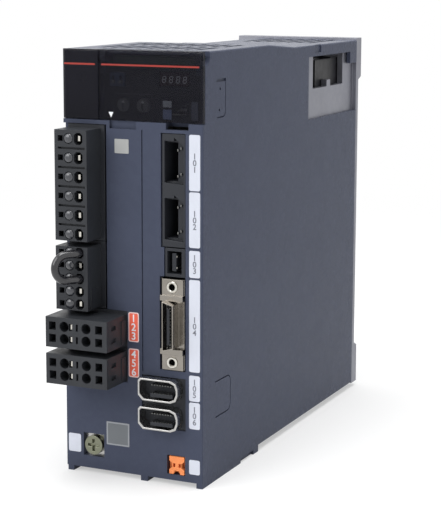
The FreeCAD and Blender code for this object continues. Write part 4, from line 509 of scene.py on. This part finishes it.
def dome_profile(radius, base_y, tip_y, dome, steps=10):
    """Side of a round push button: a short straight wall under a dome a little fuller than round."""
    wall_y = tip_y + dome
    profile = [(0, base_y), (radius - BUTTON_EDGE, base_y)]
    profile += [(radius, base_y - BUTTON_EDGE), (radius, wall_y)]
    for i in range(1, steps):
        a = math.radians(90 * i / steps)
        profile.append((radius * math.cos(a) ** 0.85, wall_y - dome * math.sin(a) ** 0.9))
    profile.append((0, tip_y))
    return profile


def make_buttons():
    """Release buttons of the supply and link plugs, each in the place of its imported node."""
    for block, count in BUTTONS:
        for i in range(1, count + 1):
            node = "%s_button_%d" % (block, i)
            low, high = corners(node)
            middle = (low + high) / 2
            profile = dome_profile((high.x - low.x) / 2, high.y, low.y, BUTTON_DOME)
            button = place("%s_release_cap_%d" % (block, i), lathe(profile, middle.x, middle.z),
                           "button_black", "%s_release_%d" % (block, i))
            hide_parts(node)


def jumper_line():
    """Middle line of the link jumper: out of its cell, bent to the left, and back two cells lower."""
    low, high = corners("link_jumper")
    swing = math.radians(WIRE_SWING)
    away = Vector((-math.sin(swing), -math.cos(swing), 0))
    start = Vector((high.x - WIRE_RADIUS, high.y, high.z - WIRE_RADIUS))
    loop = (high.z - low.z) / 2 - WIRE_RADIUS
    tip = Vector((low.x + WIRE_RADIUS, low.y + WIRE_RADIUS, start.z - loop))
    hub = tip - away * loop
    end_of_run = hub + Vector((0, 0, loop))
    run = (start.x - WIRE_BEND * (1 - math.cos(swing)) - end_of_run.x) / math.sin(swing)
    bent = end_of_run - away * run
    pivot = Vector((start.x - WIRE_BEND, bent.y + WIRE_BEND * math.sin(swing), start.z))
    outward = [start]
    for i in range(BEND_STEPS + 1):
        a = swing * i / BEND_STEPS
        outward.append(pivot + Vector((math.cos(a), -math.sin(a), 0)) * WIRE_BEND)
    turn = []
    for i in range(LOOP_STEPS + 1):
        a = math.pi * i / LOOP_STEPS
        turn.append(hub + away * loop * math.sin(a) + Vector((0, 0, loop * math.cos(a))))
    back = [Vector((p.x, p.y, 2 * hub.z - p.z)) for p in reversed(outward)]
    return outward + turn + back


def make_jumper():
    """Insulated wire bridge of the link plug."""
    points = jumper_line()
    data = bpy.data.curves.new("jumper", "CURVE")
    data.dimensions = "3D"
    data.bevel_depth = WIRE_RADIUS * MM
    data.bevel_resolution = 7
    data.use_fill_caps = True
    line = data.splines.new("POLY")
    line.points.add(len(points) - 1)
    for spot, point in zip(line.points, points):
        spot.co = (point.x * MM, point.y * MM, point.z * MM, 1)
    bender = bpy.data.objects.new("jumper", data)
    mesh = bpy.data.meshes.new_from_object(bender)
    bpy.data.objects.remove(bender)
    wire = place("jumper_wire", mesh, "wire_black", "link_plug_body")
    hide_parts("link_jumper")


def make_column_labels():
    """White labels beside the connectors, with plain numbers where there is room."""
    x0, x1 = (RIGHT_X - inset for inset in COLUMN_LABEL_INSET)
    for i, (z0, z1) in enumerate(COLUMN_LABELS):
        label("column_label_%d" % (i + 1), (x0, x1, z0, z1), 0.7, "label_white")
        if z1 - z0 > NUMBERED_HEIGHT:
            numerals("column_number_%d" % (i + 1), "\n".join(str(FIRST_NUMBER + i)),
                     (x0 + x1) / 2, (z0 + z1) / 2, min(2.2, (z1 - z0) / 4.6), FACE_Y - LABEL,
                     "print_grey", "chassis")


def make_motor_labels():
    """Orange labels with a white rim beside the motor plugs."""
    x0, x1 = MOTOR_LABEL_X
    surface = FACE_Y - LABEL
    for i, ((z0, z1), text) in enumerate(zip(MOTOR_LABELS, ("123", "456"))):
        label("motor_label_rim_%d" % (i + 1), (x0, x1, z0, z1), 0.8, "label_rim")
        field = rounded(x0 + LABEL_RIM, x1 - LABEL_RIM, z0 + LABEL_RIM, z1 - LABEL_RIM, 0.5)
        printed("motor_label_%d" % (i + 1), [field], surface, "label_orange", "chassis", LABEL)
        numerals("motor_number_%d" % (i + 1), "\n".join(text), (x0 + x1) / 2, (z0 + z1) / 2, 2.9,
                 surface - PRINT, "print_white", "chassis", 0.85)


def make_labels():
    """Adhesive labels on the front wall, and plain numbers in the place of their words."""
    make_column_labels()
    make_motor_labels()
    label("input_label", INPUT_LABEL, 0.3, "label_pale")
    label("earth_label", EARTH_LABEL, 0.7, "label_white")
    label("square_label_rim", SQUARE_RIM, 0.3, "label_rim_grey")
    printed("square_label", [rounded(*SQUARE_LABEL, 0.2)], FACE_Y - LABEL,
            "label_grey", "chassis", LABEL)


def make_black_front():
    """Print on the black front, and what lies behind the cover."""
    window, cover = corners("charge_window"), corners("display_cover")
    line = (RED_LINE_Z - RED_LINE_HALF, RED_LINE_Z + RED_LINE_HALF, 0.3)
    for name, x0, x1, body in (("red_line_left", window[0].x + 0.7, window[1].x - 1.3, "chassis"),
                               ("red_line_right", cover[0].x + 1.1, cover[1].x - 1.6, "cover")):
        printed(name, [rounded(x0, x1, *line)], FACE_Y, "print_red", body, COVER_BEDDING)
    printed("pull_arrow", [PULL_ARROW], FACE_Y, "print_white", "cover", COVER_BEDDING)
    make_digits()
    make_dial_print()
    make_painted_pocket_walls()


def make_digits():
    """Seven-segment figures of the display, all bars lit."""
    low, high = corners("display_module")
    bars = []
    for i in range(DIGITS):
        x = (low.x + high.x) / 2 + (i - (DIGITS - 1) / 2) * DIGIT_PITCH
        bars += seven_bars(x, (low.z + high.z) / 2 - DIGIT_DROP, *DIGIT_SIZE, DIGIT_BAR)
    printed("display_digits", bars, low.y, "print_lit", "chassis")


def seven_bars(x, z, width, height, bar):
    """Outlines of the seven bars of one display digit, which leans a little to the right."""
    half, side = width / 2, height / 2
    bars = [((-half, z1), (half, z1)) for z1 in (-side, 0, side)]
    bars += [((x1, z1), (x1, z1 + side)) for x1 in (-half, half) for z1 in (-side, 0)]
    outlines = []
    for (ax, az), (bx, bz) in bars:
        run = Vector((bx - ax, bz - az)).normalized()
        over = Vector((-run.y, run.x)) * bar / 2
        a, b = Vector((ax, az)) + run * bar * 0.6, Vector((bx, bz)) - run * bar * 0.6
        tips = (a - run * bar / 2, a + over, b + over, b + run * bar / 2, b - over, a - over)
        outlines.append([(x + p.x + DIGIT_LEAN * p.y, z + p.y) for p in tips])
    return outlines


def make_dial_print():
    """Line over the two dials, the ticks round them and the arrows on them."""
    panel = corners("control_panel")[0].y
    printed("dial_line", [rounded(*DIAL_LINE, 0.1)], panel, "print_grey", "chassis")
    near, far = TICK_REACH
    tick = ((near, -TICK_HALF), (near, TICK_HALF), (far, TICK_HALF), (far, -TICK_HALF))
    for i in (1, 2):
        low, high = corners("rotary_dial_%d" % i)
        x, z, r = (low.x + high.x) / 2, (low.z + high.z) / 2, (high.x - low.x) / 2
        ticks = []
        for k in range(DIAL_TICKS):
            a = math.radians(360 / DIAL_TICKS * k)
            across, along = (math.cos(a), -math.sin(a)), (math.sin(a), math.cos(a))
            ticks.append([(x + along[0] * (r + out) + across[0] * side,
                           z + along[1] * (r + out) + across[1] * side) for out, side in tick])
        printed("dial_ticks_%d" % i, ticks, panel, "print_grey", "chassis")
        arrow = [(x - 0.75, z + 0.9), (x, z + 1.95), (x + 0.75, z + 0.9)]
        printed("dial_arrow_%d" % i, [arrow], low.y, "print_lit", "dial_%d" % i)


def make_painted_pocket_walls():
    """Plates on the back of the cover, beside the socket's pocket, painted with the light and shade
    of the pocket's walls: lit at upper left, half shade at lower left, shade at right.
    """
    y = corners("display_cover")[0].y + COVER_PLATE
    for name, outline, material in POCKET_WALL_PAINT:
        place("painted_pocket_wall_" + name, prism([rounded(*outline, 0.25)], y - 0.02, y + 0.3),
              material, "cover", LABEL_EDGE)


def pad(x, z, width, height):
    """Outline of one contact from its lower left corner."""
    return [(x, z), (x + width, z), (x + width, z + height), (x, z + height)]


def make_contacts():
    """Rows of contacts on the tongues of the connectors, and the rings of the screw posts."""
    make_encoder_contacts()
    make_io_contacts()
    make_screw_posts()
    low, high = corners("safety_socket")
    pads = [rounded(low.x + 4.45, low.x + 4.65, z - 0.35, z + 0.35, 0.08)
            for z in (low.z + SAFETY_CONTACT, high.z - SAFETY_CONTACT)]
    place("safety_contacts", prism(pads, low.y + 1.1, low.y + 5), "contact_metal", "chassis")


def make_encoder_contacts():
    low, high = corners("encoder_shells")
    for name, z0 in (("b", low.z), ("a", high.z - ENCODER_HEIGHT)):
        pads = []
        for i in range(8):
            x = low.x + ENCODER_FIRST + i * ENCODER_PITCH
            pads += [pad(x, z0 + 1.5, 0.6, 0.14), pad(x, z0 + 2.96, 0.6, 0.14)]
            pads.append(pad(x, z0 + 6.1, 0.45, 0.4))
        # contacts deep in the shells take contact metal darkened as painted shade
        place("encoder_contacts_" + name, prism(pads, low.y + 1.1, FACE_Y + 0.4),
              "contact_metal_painted_shade", "chassis", 0.03)


def make_io_contacts():
    low, high = corners("io_shell")
    x, middle = (low.x + high.x) / 2, (low.z + high.z) / 2
    pads = []
    for i in range(14):
        z = middle + (i - 6.5) * IO_PITCH
        pads += [pad(x - 0.7, z - 0.3, 0.12, 0.6), pad(x + 0.58, z - 0.3, 0.12, 0.6)]
    place("io_contacts", prism(pads, low.y + 1.2, FACE_Y - 2.0), "contact_metal", "chassis", 0.03)


def make_screw_posts():
    """Flanged rings in front of the long connector's screw holes."""
    low, high = corners("io_shell")
    y = FACE_Y - SCREW_POST_PROUD
    bore, rim = 1.3, 2.25
    ring = [(bore, y + 0.1), (rim, y + 0.1), (rim, y - 0.4), (rim - 0.2, y - 0.6),
            (bore + 0.2, y - 0.6), (bore, y - 0.4), (bore, y + 0.1)]
    for i, z in enumerate((low.z + SCREW_POST, high.z - SCREW_POST)):
        mesh = lathe(ring, (low.x + high.x) / 2, z, 36)
        place("screw_post_%d" % (i + 1), mesh, "contact_metal", "chassis")


make_camera()
make_world()
make_floor()
for lamp in LAMPS:
    area_light(*lamp)
materials = make_materials()
dress_cad_nodes()
make_buttons()
make_jumper()
make_labels()
make_black_front()
make_contacts()
